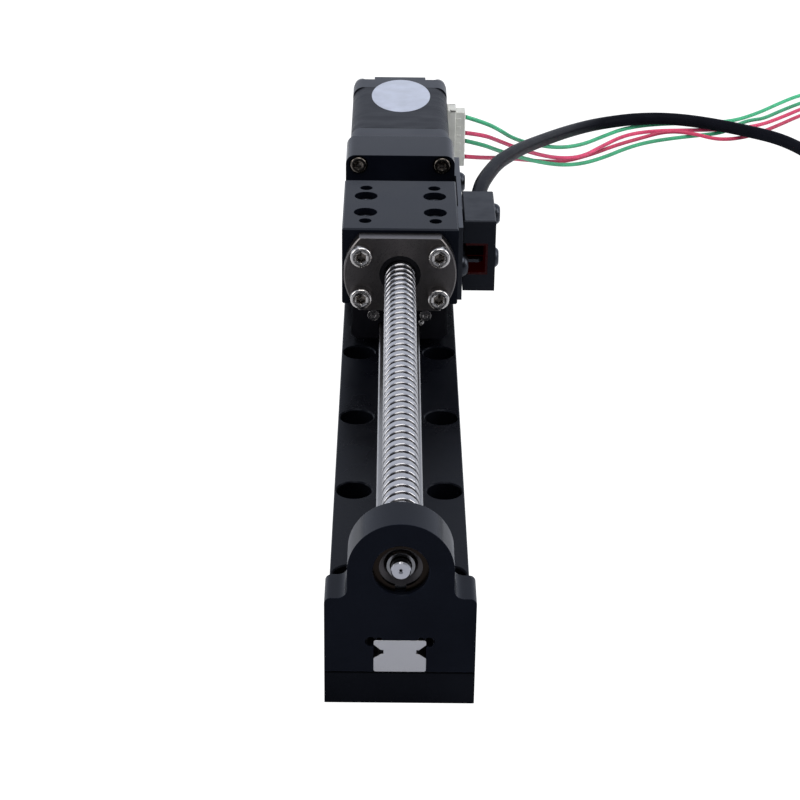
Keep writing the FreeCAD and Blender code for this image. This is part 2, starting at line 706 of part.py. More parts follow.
def make_stator():
    body = new_body("motor_stator")
    pad(body, outline(sketch_on(body, "XZ_Plane", "stator_face", -stator_at),
                      motor_square(S.stator_round)), S.stator_long, backwards=True)
    bored(body, "stator_bore", [(stator_at, S.rotor_dia / 2 + S.rotor_gap),
                                (rear_bell_at, S.rotor_dia / 2 + S.rotor_gap)], S.screw_high)
    pocket(body, circles(sketch_on(body, "XZ_Plane", "stator_bolt_bores", -stator_at),
                         motor_bolt_places(), S.motor_bolt + S.bolt_play))


def make_rear_bell():
    """The rear bell's corners stand back from its end face to take the long bolts' heads."""
    body = new_body("motor_rear_bell")
    pad(body, outline(sketch_on(body, "XZ_Plane", "rear_bell_face", -rear_bell_at),
                      motor_square(S.bell_round)), S.rear_bell_long, backwards=True)
    half = S.rear_pad_wide / 2
    low, high = S.screw_high - motor_half, S.screw_high + motor_half
    inner_low, inner_high = S.screw_high - half, S.screw_high + half
    cross = [(-half, low), (half, low), (half, inner_low), (motor_half, inner_low),
             (motor_half, inner_high), (half, inner_high), (half, high), (-half, high),
             (-half, inner_high), (-motor_half, inner_high), (-motor_half, inner_low),
             (-half, inner_low)]
    pad(body, outline(sketch_on(body, "XZ_Plane", "rear_pad", -motor_end), cross),
        S.rear_pad_long, backwards=True)
    bored(body, "rear_bell_bore", [
        (rear_bell_at, S.motor_bearing_dia / 2),
        (rear_bell_at + S.motor_bearing_long + 0.6, S.motor_bearing_dia / 2)], S.screw_high)
    pocket(body, circles(sketch_on(body, "XZ_Plane", "rear_bolt_bores", -rear_bell_at),
                         motor_bolt_places(), S.motor_bolt + S.bolt_play))


def make_motor_bearings():
    for name, along in (("motor_front_bearing", stator_at - S.motor_bearing_long),
                        ("motor_rear_bearing", rear_bell_at)):
        turned(name, ring_profile(S.motor_shaft / 2 + S.fit_gap, S.motor_bearing_dia / 2, 0,
                                  S.motor_bearing_long), 0, along, S.screw_high)


def make_motor_bolts():
    cap_screws("motor_bolts", [(x, motor_end, z) for x, z in motor_bolt_places()], "back",
               S.motor_bolt, S.rear_bell_long + S.stator_long + S.front_bell_long * 0.3,
               S.mount_head, S.rear_pad_long * 0.9, S.mount_hex)


def plug_levels():
    """Heights of the four wired positions of the six-way motor plug."""
    return [S.plug_high + S.plug_pitch * steps for steps in (2.5, 0.5, -0.5, -2.5)]


def make_motor_connector():
    along = front + S.plug_at
    low = S.plug_high - S.plug_tall / 2
    header = new_body("motor_header")
    wall = S.plug_deep * 0.12
    pad(header, outline(sketch_on(header, "YZ_Plane", "header_outline", motor_half),
                        rectangle(along, low, along + S.plug_deep, low + S.plug_tall)),
        S.header_reach)
    plug = new_body("motor_plug")
    pad(plug, outline(sketch_on(plug, "YZ_Plane", "plug_outline", motor_half + S.header_reach),
                      rectangle(along + wall, low + wall, along + S.plug_deep - wall,
                                low + S.plug_tall - wall)), S.plug_reach)
    ways = [(along + S.plug_deep / 2, S.plug_high + S.plug_pitch * steps)
            for steps in (-2.5, -1.5, -0.5, 0.5, 1.5, 2.5)]
    pocket(plug, circles(sketch_on(plug, "YZ_Plane", "plug_ways",
                                   motor_half + S.header_reach + S.plug_reach), ways,
                         S.wire_dia + 0.3), S.plug_reach * 0.2)


# Ball nut

def nut_screw_places():
    radius = S.flange_dia / 2 - S.nut_inset
    return [(x * radius * cos_deg(S.nut_angle), S.screw_high + z * radius * sin_deg(S.nut_angle))
            for x in (-1, 1) for z in (-1, 1)]


def make_ball_nut():
    bore = S.screw_dia / 2 + S.thread_gap
    seal = S.seal_dia / 2
    end = S.flange_thick + S.nut_long
    body = turned("ball_nut", [
        (seal, 0), (S.flange_dia / 2 - 0.3, 0), (S.flange_dia / 2, 0.3),
        (S.flange_dia / 2, S.flange_thick - 0.3), (S.flange_dia / 2 - 0.3, S.flange_thick),
        (S.nut_dia / 2, S.flange_thick), (S.nut_dia / 2, end - 0.4), (S.nut_dia / 2 - 0.4, end),
        (seal, end), (seal, end - S.seal_thick), (bore, end - S.seal_thick),
        (bore, S.seal_thick), (seal, S.seal_thick)], 0, nut_face, S.screw_high)
    half = S.flange_flats / 2
    wide = S.flange_dia
    for name, low, high in (("flange_flat_top", half, wide), ("flange_flat_low", -wide, -half)):
        pocket(body, outline(sketch_on(body, "XZ_Plane", name),
                             rectangle(-wide, low, wide, high)))
    holes = [(x, z - S.screw_high) for x, z in nut_screw_places()]
    pocket(body, circles(sketch_on(body, "XZ_Plane", "nut_holes"), holes, S.nut_hole))


def make_nut_seals():
    rings = []
    for number, along in enumerate((nut_face, nut_face + S.flange_thick + S.nut_long
                                    - S.seal_thick), start=1):
        outer = cylinder(f"seal_{number}_outer", S.seal_dia, S.seal_thick, 0)
        inner = cylinder(f"seal_{number}_inner", S.screw_dia + S.thread_gap * 2,
                         S.seal_thick, 0)
        ring = doc.addObject("Part::Cut", f"seal_{number}")
        ring.Base, ring.Tool = outer, inner
        place(ring, 0, along, S.screw_high, TURNS["back"])
        rings.append(ring)
    group = doc.addObject("Part::Compound", "nut_seals")
    group.Links = rings
    group.Label = "nut_seals"


def make_nut_screws():
    cap_screws("nut_screws", [(x, nut_face, z) for x, z in nut_screw_places()], "front",
               S.small_bolt, S.flange_thick + S.small_bolt * 1.2, S.small_head, S.small_bolt,
               S.small_hex)


# Carriage

def load_places(pitch):
    return [(x * S.load_spread / 2, carriage_mid + y * pitch / 2) for x in (-1, 1)
            for y in (-1, 1)]


def make_carriage_plate():
    body = new_body("carriage_plate")
    pad(body, outline(sketch_on(body, "XY_Plane", "carriage_blank", S.carriage_low),
                      rectangle(-carriage_half, carriage_face, carriage_half, carriage_back)),
        S.carriage_top - S.carriage_low)
    dress(body, "Chamfer", S.carriage_edge, lambda edge: level(edge, "Z", S.carriage_top.value)
          or (level(edge, "Z", S.carriage_low.value) and not level(edge, "Y", carriage_face.value)))
    nut_end = nut_face + S.flange_thick + S.nut_long + S.joint_gap * 2
    bored(body, "nut_bore", [
        (carriage_face, S.nut_dia / 2 + S.fit_gap * 2), (nut_end, S.nut_dia / 2 + S.fit_gap * 2),
        (nut_end, S.carriage_neck / 2), (carriage_back, S.carriage_neck / 2)], S.screw_high)
    top = S.carriage_top
    pocket(body, circles(sketch_on(body, "XY_Plane", "load_threads", top),
                         load_places(S.load_pitch), S.load_bore), S.load_deep)
    pocket(body, circles(sketch_on(body, "XY_Plane", "guide_bores", top),
                         load_places(S.guide_pitch), S.small_bolt + S.thread_play))
    pocket(body, circles(sketch_on(body, "XY_Plane", "guide_heads", top),
                         load_places(S.guide_pitch), S.guide_head_bore), S.guide_head_deep)
    pocket(body, circles(sketch_on(body, "XZ_Plane", "nut_threads", -carriage_face),
                         nut_screw_places(), S.small_bolt + S.thread_play), S.small_bolt * 1.25)
    pocket(body, circles(sketch_on(body, "YZ_Plane", "flag_threads", carriage_half),
                         flag_screw_places(), S.small_bolt + S.thread_play), 3.4)


def make_carriage_screws():
    seat = S.carriage_top - S.guide_head_deep
    places = [(x, y, seat) for x, y in load_places(S.guide_pitch)]
    cap_screws("carriage_screws", places, "up", S.small_bolt,
               seat - S.carriage_low + S.small_bolt, S.small_head, S.small_bolt, S.small_hex)


# Guide block with its end caps

def guide_section(inset):
    """Section of the guide block, an arch over the rail with a rib in each of its grooves."""
    half = S.guide_wide / 2 - inset
    low = S.base_thick + S.guide_lift + inset
    top = S.carriage_low - inset
    edge = S.guide_edge
    inner = rail_side(S.joint_gap)
    right = [(half, low + edge), (half, top - edge), (half - edge, top)]
    mirrored = [(-x, z) for x, z in reversed(right)]
    legs = inner + [(inner[-1][0], low)]
    left_legs = [(-x, z) for x, z in reversed(legs)]
    return ([(inner[-1][0], low), (half - edge, low)] + right + mirrored
            + [(-half + edge, low)] + left_legs + legs[:-1])


def guide_block_at():
    return carriage_mid - S.guide_long / 2


def make_guide_block():
    body = new_body("guide_block")
    start = guide_block_at()
    pad(body, outline(sketch_on(body, "XZ_Plane", "guide_section", -start),
                      guide_section(size(0))), S.guide_long, backwards=True)
    pocket(body, circles(sketch_on(body, "XY_Plane", "guide_threads", S.carriage_low),
                         load_places(S.guide_pitch), S.small_bolt + S.thread_play),
           S.small_bolt * 1.3)
    pocket(body, circles(sketch_on(body, "XZ_Plane", "cap_threads", -start),
                         cap_screw_places(), S.cap_screw + S.thread_play))


def cap_screw_places():
    high = S.carriage_low - S.cap_screw_drop
    return [(side * S.cap_screw_spread / 2, high) for side in (-1, 1)]


def make_end_caps():
    start = guide_block_at()
    for label, along in (("front_end_cap", start - S.cap_long),
                         ("rear_end_cap", start + S.guide_long)):
        body = new_body(label)
        pad(body, outline(sketch_on(body, "XZ_Plane", label + "_section", -along),
                          guide_section(S.cap_step)), S.cap_long, backwards=True)
        pocket(body, circles(sketch_on(body, "XZ_Plane", label + "_bores", -along),
                             cap_screw_places(), S.cap_screw + S.thread_play))
    for label, seat, facing in (("front_cap_screws", start - S.cap_long, "front"),
                                ("rear_cap_screws", start + S.guide_long + S.cap_long, "back")):
        cap_screws(label, [(x, seat, z) for x, z in cap_screw_places()], facing, S.cap_screw,
                   S.cap_long + S.cap_screw * 1.5, S.cap_screw_head, S.cap_screw * 0.6,
                   S.cap_screw * 0.8)


# Home flag on the carriage's side

def flag_start():
    return carriage_face + S.flag_setback


def flag_screw_places():
    along = flag_start() + S.flag_long / 2
    half = S.flag_screw_pitch / 2
    return [(along - half, S.flag_screw_high), (along + half, S.flag_screw_high)]


def make_home_flag():
    body = new_body("home_flag")
    start = flag_start()
    low = S.carriage_low
    pad(body, outline(sketch_on(body, "YZ_Plane", "flag_plate", carriage_half),
                      rectangle(start, low, start + S.flag_long, S.carriage_top - 0.6)),
        S.flag_thick)
    x_inner = carriage_half + S.flag_thick
    middle = start + S.flag_long / 2
    half = (S.flag_screw_pitch - S.button_head) / 2 - S.joint_gap
    tip = x_inner + S.tongue_reach
    tongue = [(x_inner - S.flag_thick / 2, middle - half), (tip - half, middle - half),
              (tip, middle), (tip, middle + half), (x_inner - S.flag_thick / 2, middle + half)]
    pad(body, outline(sketch_on(body, "XY_Plane", "flag_tongue",
                                S.flag_screw_high - S.tongue_thick / 2), tongue), S.tongue_thick)
    pocket(body, circles(sketch_on(body, "YZ_Plane", "flag_bores", x_inner),
                         flag_screw_places(), S.small_bolt + S.bolt_play))


def make_flag_screws():
    seat = carriage_half + S.flag_thick
    cap_screws("flag_screws", [(seat, y, z) for y, z in flag_screw_places()], "right",
               S.small_bolt, S.flag_thick + S.small_bolt, S.button_head, S.button_tall,
               S.small_hex * 0.8)


# Home sensor, its bracket and its cable outlet

def sensor_screw_places():
    along = sensor_face + S.sensor_hole_back
    low = S.sensor_low + (S.sensor_tall - S.sensor_hole_pitch) / 2
    return [(along, low), (along, low + S.sensor_hole_pitch)]


def make_sensor_body():
    """A fork: two arms over and under a slot that is open to the front and to the carriage."""
    body = new_body("sensor_body")
    low, top = S.sensor_low, sensor_top
    slot_top = S.slot_low + S.slot_tall
    back = sensor_face + S.sensor_long
    pad(body, outline(sketch_on(body, "YZ_Plane", "sensor_side", sensor_x),
                      rectangle(sensor_face, low, back, top)), S.sensor_wide)
    dress(body, "Chamfer", S.sensor_edge, lambda edge: level(edge, "Z", top.value))
    slot = outline(sketch_on(body, "XZ_Plane", "sensor_slot", -sensor_face),
                   rectangle(sensor_x - 1, S.slot_low, sensor_x + S.sensor_wide - S.slot_wall,
                             slot_top))
    pocket(body, slot, S.slot_deep)
    pocket(body, circles(sketch_on(body, "YZ_Plane", "sensor_bores", sensor_x + S.sensor_wide),
                         sensor_screw_places(), S.small_bolt + S.bolt_play))


def make_sensor_window():
    """The red liner of the slot, a sheet over the slot's roof, wall and floor."""
    body = new_body("sensor_window")
    thick = S.window_thick
    wall = sensor_x + S.sensor_wide - S.slot_wall
    low, high = S.slot_low, S.slot_low + S.slot_tall
    start = sensor_x + thick
    section = [(start, low), (wall, low), (wall, high), (start, high), (start, high - thick),
               (wall - thick, high - thick), (wall - thick, low + thick), (start, low + thick)]
    pad(body, outline(sketch_on(body, "XZ_Plane", "window_section", -sensor_face), section),
        S.slot_deep, backwards=True)


def make_sensor_screws():
    seat = sensor_x + S.sensor_wide
    reach = S.sensor_wide + S.bracket_thick
    cap_screws("sensor_screws", [(seat, y, z) for y, z in sensor_screw_places()], "right",
               S.small_bolt, reach, S.button_head, S.button_tall, S.small_hex * 0.8)


def bracket_face():
    return sensor_x - S.bracket_thick


def make_sensor_bracket():
    """A strip from the mount's side to the sensor's back, clear of the carriage that passes it."""
    body = new_body("sensor_bracket")
    start = sensor_face + S.slot_deep - 0.4
    stop = mount_back - 1
    low, top = S.bracket_low, S.bracket_low + S.bracket_tall
    pad(body, outline(sketch_on(body, "YZ_Plane", "bracket_strip", bracket_face()),
                      rectangle(start, low, stop, top)), S.bracket_thick)
    pad(body, outline(sketch_on(body, "YZ_Plane", "bracket_foot", half_wide),
                      rectangle(mount_face, low, stop, top)), bracket_face() - half_wide)
    reach = sensor_x + S.sensor_wide
    back = sensor_face + S.sensor_long
    pad(body, outline(sketch_on(body, "XY_Plane", "bracket_back", low),
                      rectangle(sensor_x - 0.2, back, reach - 1, back + 1.2)), size(8))
    holes = bracket_screw_places() + sensor_screw_places()
    pocket(body, circles(sketch_on(body, "YZ_Plane", "bracket_bores", sensor_x), holes,
                         S.small_bolt + S.bolt_play))


def make_bracket_screws():
    places = [(sensor_x, y, z) for y, z in bracket_screw_places()]
    cap_screws("bracket_screws", places, "right", S.small_bolt,
               sensor_x - half_wide + 3, S.button_head, S.button_tall, S.small_hex * 0.8)


def make_sensor_gland():
    """The moulded sleeve where the cable leaves the sensor's back."""
    back = sensor_face + S.sensor_long
    turned("sensor_gland", [
        (size(0), 0), (S.gland_dia / 2, 0), (S.gland_dia / 2, 1), (S.cable_dia / 2 + 0.4,
                                                                 S.gland_long),
        (size(0), S.gland_long)], sensor_x + S.sensor_wide * 0.55, back, S.cable_high)


# Free leads. Each route is in the part's own frame and starts where its lead comes out.

CABLE_ROUTE = [
    (21.2, 80.8, 36.6), (22.1, 90.6, 36.2), (25.0, 106.4, 34.2), (28.6, 124.0, 31.2),
    (32.3, 137.1, 28.6), (36.9, 154.6, 24.6), (46.3, 186.5, 16.4), (56.1, 215.3, 9.2),
    (65.4, 234.4, 4.9), (73.6, 242.0, 3.8), (82.8, 245.6, 3.8), (92.0, 246.4, 3.8),
    (99.8, 244.9, 3.8), (107.0, 241.9, 3.8), (114.2, 237.9, 3.8), (121.2, 233.2, 3.8),
    (129.4, 228.2, 3.4), (135.6, 221.6, 2.6), (139.4, 213.5, 2.2)]
CABLE_TAIL = [(178.8, 191.1, 2.2), (187.0, 191.7, 2.2), (195.0, 192.7, 2.2)]
WIRE_ROUTES = {
    "green_wire_top": [
        (19.8, 146.4, 37.45), (25.6, 149.2, 34.8), (30.4, 157.6, 29.8), (35.6, 170.6, 22.4),
        (43.0, 189.9, 13.8), (52.5, 202.8, 7.9), (62.1, 219.5, 3.2), (71.2, 236.0, 0.75),
        (78.8, 244.1, 0.75), (89.4, 249.0, 0.75), (104.4, 250.6, 0.75), (117.6, 252.6, 0.75),
        (128.4, 262.2, 0.75), (138.2, 274.0, 0.75), (147.1, 283.5, 0.75), (158.5, 290.8, 0.75),
        (171.5, 293.0, 0.75), (185.0, 290.0, 0.75), (193.6, 282.0, 0.75), (196.7, 272.2, 1.3),
        (196.8, 263.3, 2.6)],
    "red_wire_top": [
        (19.8, 146.4, 32.45), (25.4, 150.6, 30.4), (30.3, 161.9, 24.8), (36.4, 172.6, 18.8),
        (44.4, 188.7, 10.8), (52.8, 198.9, 5.7), (61.0, 205.3, 4.0), (69.4, 220.8, 2.6),
        (78.6, 237.2, 0.75), (88.4, 241.8, 0.75), (101.4, 243.0, 0.75), (114.9, 244.0, 0.75),
        (126.8, 248.6, 0.75), (137.0, 258.8, 0.75), (147.0, 270.0, 0.75), (158.5, 278.6, 0.75),
        (170.5, 281.0, 0.75), (180.9, 278.4, 0.75), (187.4, 271.4, 1.3), (189.6, 263.3, 2.6)],
    "green_wire_low": [
        (19.8, 146.4, 29.95), (25.2, 150.4, 27.4), (29.8, 159.4, 22.6), (36.4, 173.6, 15.6),
        (44.6, 186.6, 9.0), (53.2, 196.6, 4.2), (61.2, 205.6, 1.5), (69.4, 214.4, 0.75),
        (77.4, 223.4, 0.75), (84.8, 229.6, 0.75), (93.8, 234.0, 0.75), (104.2, 237.6, 0.75),
        (113.2, 240.8, 0.75), (118.6, 244.8, 2.45), (123.6, 249.6, 2.4), (129.4, 256.2, 0.75),
        (136.4, 264.4, 0.75), (145.6, 274.2, 0.75), (157.0, 283.8, 0.75), (171.0, 287.0, 0.75),
        (183.0, 284.4, 0.75), (190.6, 277.2, 0.75), (193.1, 270.0, 1.5), (193.2, 263.3, 2.6)],
    "red_wire_low": [
        (19.8, 146.4, 24.95), (25.0, 151.4, 22.8), (31.0, 164.4, 18.2), (38.6, 180.4, 12.0),
        (46.6, 194.0, 6.4), (55.4, 206.6, 1.8), (65.0, 216.8, 0.75), (74.6, 226.8, 0.75),
        (84.0, 234.4, 0.75), (92.8, 237.2, 2.3), (101.4, 235.6, 2.3), (110.6, 232.6, 0.75),
        (121.6, 236.8, 0.75), (132.4, 247.8, 0.75), (144.4, 261.6, 0.75), (156.0, 271.6, 0.75),
        (168.0, 275.2, 0.75), (178.2, 273.2, 0.75), (184.2, 269.2, 1.5), (186.0, 263.3, 2.6)],
}
COIL_CENTRE = (170.5, 222.0)
COIL_MIDDLE = 23.0
COIL_HALF_WIDE = 6.5
COIL_THICK = 8.6


def lead_path(points):
    """Straight runs joined by tangent arcs, each as large as its two runs allow."""
    points = [Vector(*point) for point in points]
    edges = []
    radii = []
    start = points[0]
    for before, corner, after in zip(points, points[1:], points[2:]):
        into = (corner - before)
        out = (after - corner)
        shorter = min(into.Length, out.Length)
        turn = into.getAngle(out)
        setback = 0.45 * shorter
        radii.append(setback / math.tan(turn / 2))
        into.normalize()
        out.normalize()
        first = corner - into * setback
        last = corner + out * setback
        inward = (out - into).normalize()
        rise = radii[-1] * (1 / math.cos(turn / 2) - 1)
        middle = corner + inward * rise
        edges.append(Part.LineSegment(start, first).toShape())
        edges.append(Part.Arc(first, middle, last).toShape())
        start = last
    edges.append(Part.LineSegment(start, points[-1]).toShape())
    return Part.Wire(edges), radii


def make_lead(label, points, diameter):
    wire, radii = lead_path(points)
    start = Vector(*points[0])
    direction = Vector(*points[1]) - start
    ring = Part.Wire(Part.Circle(start, direction, diameter.value / 2).toShape())
    tube = wire.makePipeShell([ring], True, False)
    thing = doc.addObject("Part::Feature", label)
    thing.Label = label
    thing.Shape = tube
    thing.Placement = FreeCAD.Placement()
    section = math.pi * (diameter.value / 2) ** 2
    expected = section * wire.Length
    if abs(tube.Volume - expected) > 0.01 * expected:
        raise RuntimeError(f"{label} holds {tube.Volume:.1f} where {expected:.1f} is expected")
    print(f"{label}: {wire.Length:.1f} long, smallest radius {min(radii):.1f}, "
          f"radii {[round(radius, 1) for radius in radii]}")


def make_cable_coil():
    """The outer shape of the cable that lies coiled, a flat ring on the table."""
    body = new_body("sensor_cable_coil")
    inner, outer = COIL_MIDDLE - COIL_HALF_WIDE, COIL_MIDDLE + COIL_HALF_WIDE
    edge = 2.0
    sketch = outline(sketch_on(body, "XZ_Plane", "coil_section"), [
        (inner + edge, 0), (outer - edge, 0), (outer, edge), (outer, COIL_THICK - edge),
        (outer - edge, COIL_THICK), (inner + edge, COIL_THICK), (inner, COIL_THICK - edge),
        (inner, edge)])
    feature = body.newObject("PartDesign::Revolution", "coil_turned")
    feature.Profile = sketch
    feature.ReferenceAxis = (sketch, ["V_Axis"])
    feature.Angle = 360.0
    place(body, COIL_CENTRE[0], COIL_CENTRE[1], 0.05)
    doc.recompute()


def make_end_plugs():
    """The four-way plug on the motor leads and the three-way plug on the sensor cable."""
    plug = new_body("motor_lead_plug")
    ends = [route[-1] for route in WIRE_ROUTES.values()]
    middle = sum(end[0] for end in ends) / len(ends)
    face = ends[0][1] - S.joint_gap
    pad(plug, outline(sketch_on(plug, "XZ_Plane", "lead_plug_face", -face),
                      rectangle(middle - 7.4, 0, middle + 7.4, 5.2)), size(11.0))
    tip = CABLE_TAIL[-1]
    plug = new_body("sensor_cable_plug")
    pad(plug, outline(sketch_on(plug, "YZ_Plane", "cable_plug_face", tip[0] + S.joint_gap),
                      rectangle(tip[1] - 4.6, 0, tip[1] + 4.6, 5.4)), size(11.0))


def make_leads():
    make_lead("sensor_cable", CABLE_ROUTE, S.cable_dia)
    for label, route in WIRE_ROUTES.items():
        make_lead(label, route, S.wire_dia)
    make_cable_coil()
    make_lead("sensor_cable_tail", CABLE_TAIL, S.cable_dia)
    make_end_plugs()


def build():
    make_base_plate()
    make_guide_rail()
    make_rail_screws()
    make_front_block()
    make_block_screws()
    make_front_bearing()
    make_motor_mount()
    make_mount_screws()
    make_rear_bearing()
    make_ball_screw()
    make_coupling()
    make_motor_shaft()
    make_front_bell()
    make_stator()
    make_rear_bell()
    make_motor_bearings()
    make_motor_bolts()
    make_motor_connector()
    make_ball_nut()
    make_nut_seals()
    make_nut_screws()
    make_carriage_plate()
    make_carriage_screws()
    make_guide_block()
    make_end_caps()
    make_home_flag()
    make_flag_screws()
    make_sensor_body()
    make_sensor_window()
    make_sensor_screws()
    make_sensor_bracket()
    make_bracket_screws()
    make_sensor_gland()
    make_leads()
    doc.recompute()


def sub_parts():
    """Every finished piece: bodies, groups of screws and the free leads."""
    kinds = ("PartDesign::Body", "Part::Compound", "Part::Feature")
    return [thing for thing in doc.Objects if thing.TypeId in kinds]


def check_all():
    for thing in doc.Objects:
        if "Invalid" in thing.State or "Error" in thing.State:
            raise RuntimeError(f"{thing.Name} failed: {thing.State}")
    for part in sub_parts():
        if part.Shape.isNull() or not part.Shape.isValid():
            raise RuntimeError(f"{part.Label} has no valid shape")


build()
check_all()
os.makedirs("parts", exist_ok=True)
for part in sub_parts():
    part.Shape.exportStep(f"parts/{part.Label}.step")
print(len(sub_parts()), "sub-parts written")
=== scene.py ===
"""The looks of the ball screw actuator, over the solids of its CAD model.

The frame is the CAD model's: X across the base, Y from the front bearing block to the
motor, Z up. Mesh corners, routes, edge radii and relief depths are in millimetres.
"""
import itertools
import json
import math

import bmesh
import bpy
from mathutils import Matrix, Vector


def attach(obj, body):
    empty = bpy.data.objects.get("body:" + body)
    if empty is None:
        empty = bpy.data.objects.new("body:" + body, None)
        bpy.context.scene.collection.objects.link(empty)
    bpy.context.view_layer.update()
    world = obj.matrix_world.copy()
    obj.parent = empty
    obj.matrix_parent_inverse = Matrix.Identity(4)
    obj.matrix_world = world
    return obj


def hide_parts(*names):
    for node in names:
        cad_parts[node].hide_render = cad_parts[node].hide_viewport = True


MM = 0.001
AXIS_HIGH = 30.8
SCREW_AXIS = (0, 0, AXIS_HIGH)
SHARP_ON_NODES, SHARP_ON_PIECES = math.radians(32), math.radians(38)
# Blue of the light that the black parts mirror. The world shows it in reflections, and the black
# finishes paint it into their specular tint as a painted reflection colour.
COOL = (0.8, 0.86, 1.0)
AXES = {"X": (1, 0, 0), "Y": (0, 1, 0), "Z": (0, 0, 1)}
# Noise seldom leaves this band, so tones and gloss run from end to end inside it.
NOISE_BAND = (0.3, 0.7)

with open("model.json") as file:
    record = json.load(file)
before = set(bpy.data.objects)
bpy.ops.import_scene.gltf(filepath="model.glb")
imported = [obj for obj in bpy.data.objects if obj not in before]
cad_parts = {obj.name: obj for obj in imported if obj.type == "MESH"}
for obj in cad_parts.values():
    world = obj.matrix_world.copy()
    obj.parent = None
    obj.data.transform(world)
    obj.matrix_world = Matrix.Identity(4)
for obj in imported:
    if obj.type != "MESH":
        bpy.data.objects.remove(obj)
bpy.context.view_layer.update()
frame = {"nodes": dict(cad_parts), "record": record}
nodes = frame["nodes"]
scene = bpy.context.scene


# Node trees

class Wiring:
    """A node tree while its nodes are added and joined."""

    def __init__(self, tree):
        self.tree = tree

    def add(self, kind, inputs, **settings):
        """The outputs of a new node, whose inputs are values or other nodes' outputs."""
        node = self.tree.nodes.new(kind)
        for key, value in settings.items():
            setattr(node, key, value)
        for key, value in inputs.items():
            self.feed(node.inputs[key], value)
        return node.outputs

    def feed(self, socket, value):
        if isinstance(value, bpy.types.NodeSocket):
            self.tree.links.new(value, socket)
        else:
            socket.default_value = (*value, 1) if socket.type == "RGBA" else value

    def spread(self, source, low, high, start, stop):
        """A value from low at start to high at stop, held beyond both."""
        return self.add("ShaderNodeMapRange", {
            "Value": source, "From Min": start, "From Max": stop, "To Min": low,
            "To Max": high})["Result"]

    def blend(self, mask, first, second):
        """The first colour where the mask is 0, the second where it is 1."""
        return self.add("ShaderNodeMix", {0: mask, 6: first, 7: second}, data_type="RGBA")[2]

    def calc(self, kind, first, second=0.0):
        return self.add("ShaderNodeMath", {0: first, 1: second}, operation=kind)[0]

    def dot(self, first, second):
        return self.add("ShaderNodeVectorMath", {0: first, 1: second},
                        operation="DOT_PRODUCT")["Value"]

    def noise(self, scale, detail, stretch=(1, 1, 1)):
        """Noise in the object's own space, with its scale per metre."""
        place = self.add("ShaderNodeTexCoord", {})["Object"]
        stretched = self.add("ShaderNodeMapping", {"Vector": place, "Scale": stretch})
        return self.add("ShaderNodeTexNoise", {
            "Vector": stretched["Vector"], "Scale": scale, "Detail": detail})["Fac"]

    def along(self, direction):
        """How far along a direction the object's own coordinate lies."""
        return self.dot(self.add("ShaderNodeTexCoord", {})["Object"], direction)


# Effects that several finishes share

def shared_effect(name, inputs, outputs, fill):
    """A node group whose sockets are named, each with its kind."""
    tree = bpy.data.node_groups.new(name, "ShaderNodeTree")
    for sockets, way in ((inputs, "INPUT"), (outputs, "OUTPUT")):
        for label, kind in sockets.items():
            tree.interface.new_socket(label, in_out=way, socket_type="NodeSocket" + kind)
    wiring = Wiring(tree)
    wiring.add("NodeGroupOutput", fill(wiring, wiring.add("NodeGroupInput", {})))
    return tree


def fill_grain(wiring, given):
    """Plain noise, fine or coarse by its scale."""
    return {"Value": wiring.noise(given["Scale"], given["Detail"], given["Stretch"])}


def fill_patches(wiring, given):
    """Noise sharpened into a mask of patches."""
    return {"Mask": wiring.spread(wiring.noise(given["Scale"], 3), given["Least"],
                                  given["Most"], given["Start"], given["Full"])}


def fill_mottling(wiring, given):
    """Noise made into a tone and a gloss."""
    share = wiring.spread(given["Value"], 0.0, 1.0, *NOISE_BAND)
    return {"Colour": wiring.blend(share, given["Dark"], given["Light"]),
            "Roughness": wiring.spread(given["Value"], given["Gloss"], given["Matt"],
                                       *NOISE_BAND)}


def fill_edge_wear_and_highlight(wiring, given):
    """Shading rounded over sharp edges, and a lighter colour on them that is partly bare metal from
    wear and partly a painted highlight.
    """
    rounded = wiring.add("ShaderNodeBevel", {"Radius": given["Radius"]}, samples=6)["Normal"]
    flat = wiring.add("ShaderNodeNewGeometry", {})["Normal"]
    # Wear and painted highlight: the colour lightens where the rounded shading bends away from the
    # flat face.
    edge = wiring.spread(wiring.dot(rounded, flat), 1.0, 0.0, 0.86, 0.995)
    wear_and_highlight = wiring.calc("MULTIPLY", edge, given["Amount"])
    return {"Colour": wiring.blend(wear_and_highlight, given["Colour"], given["Bare And Lit"]), "Normal": rounded}


def fill_cut_line(wiring, given):
    """A mask that is 1 past one level along a direction and 0 before another."""
    return {"Mask": wiring.spread(wiring.along(given["Direction"]), 1.0, 0.0, given["Full"],
                                  given["Clear"])}


GRAIN = shared_effect("grain", {"Scale": "Float", "Detail": "Float", "Stretch": "Vector"},
                      {"Value": "Float"}, fill_grain)
PATCHES = shared_effect("patches", {
    "Scale": "Float", "Start": "Float", "Full": "Float", "Least": "Float", "Most": "Float"},
                        {"Mask": "Float"}, fill_patches)
MOTTLING = shared_effect("mottling", {
    "Value": "Float", "Dark": "Color", "Light": "Color", "Gloss": "Float", "Matt": "Float"},
                         {"Colour": "Color", "Roughness": "Float"}, fill_mottling)
EDGE_WEAR_AND_HIGHLIGHT = shared_effect("edge_wear_and_highlight", {
    "Colour": "Color", "Bare And Lit": "Color", "Radius": "Float", "Amount": "Float"},
                          {"Colour": "Color", "Normal": "Vector"}, fill_edge_wear_and_highlight)
CUT_LINE = shared_effect("cut_line", {"Direction": "Vector", "Full": "Float", "Clear": "Float"},
                         {"Mask": "Float"}, fill_cut_line)


# Materials

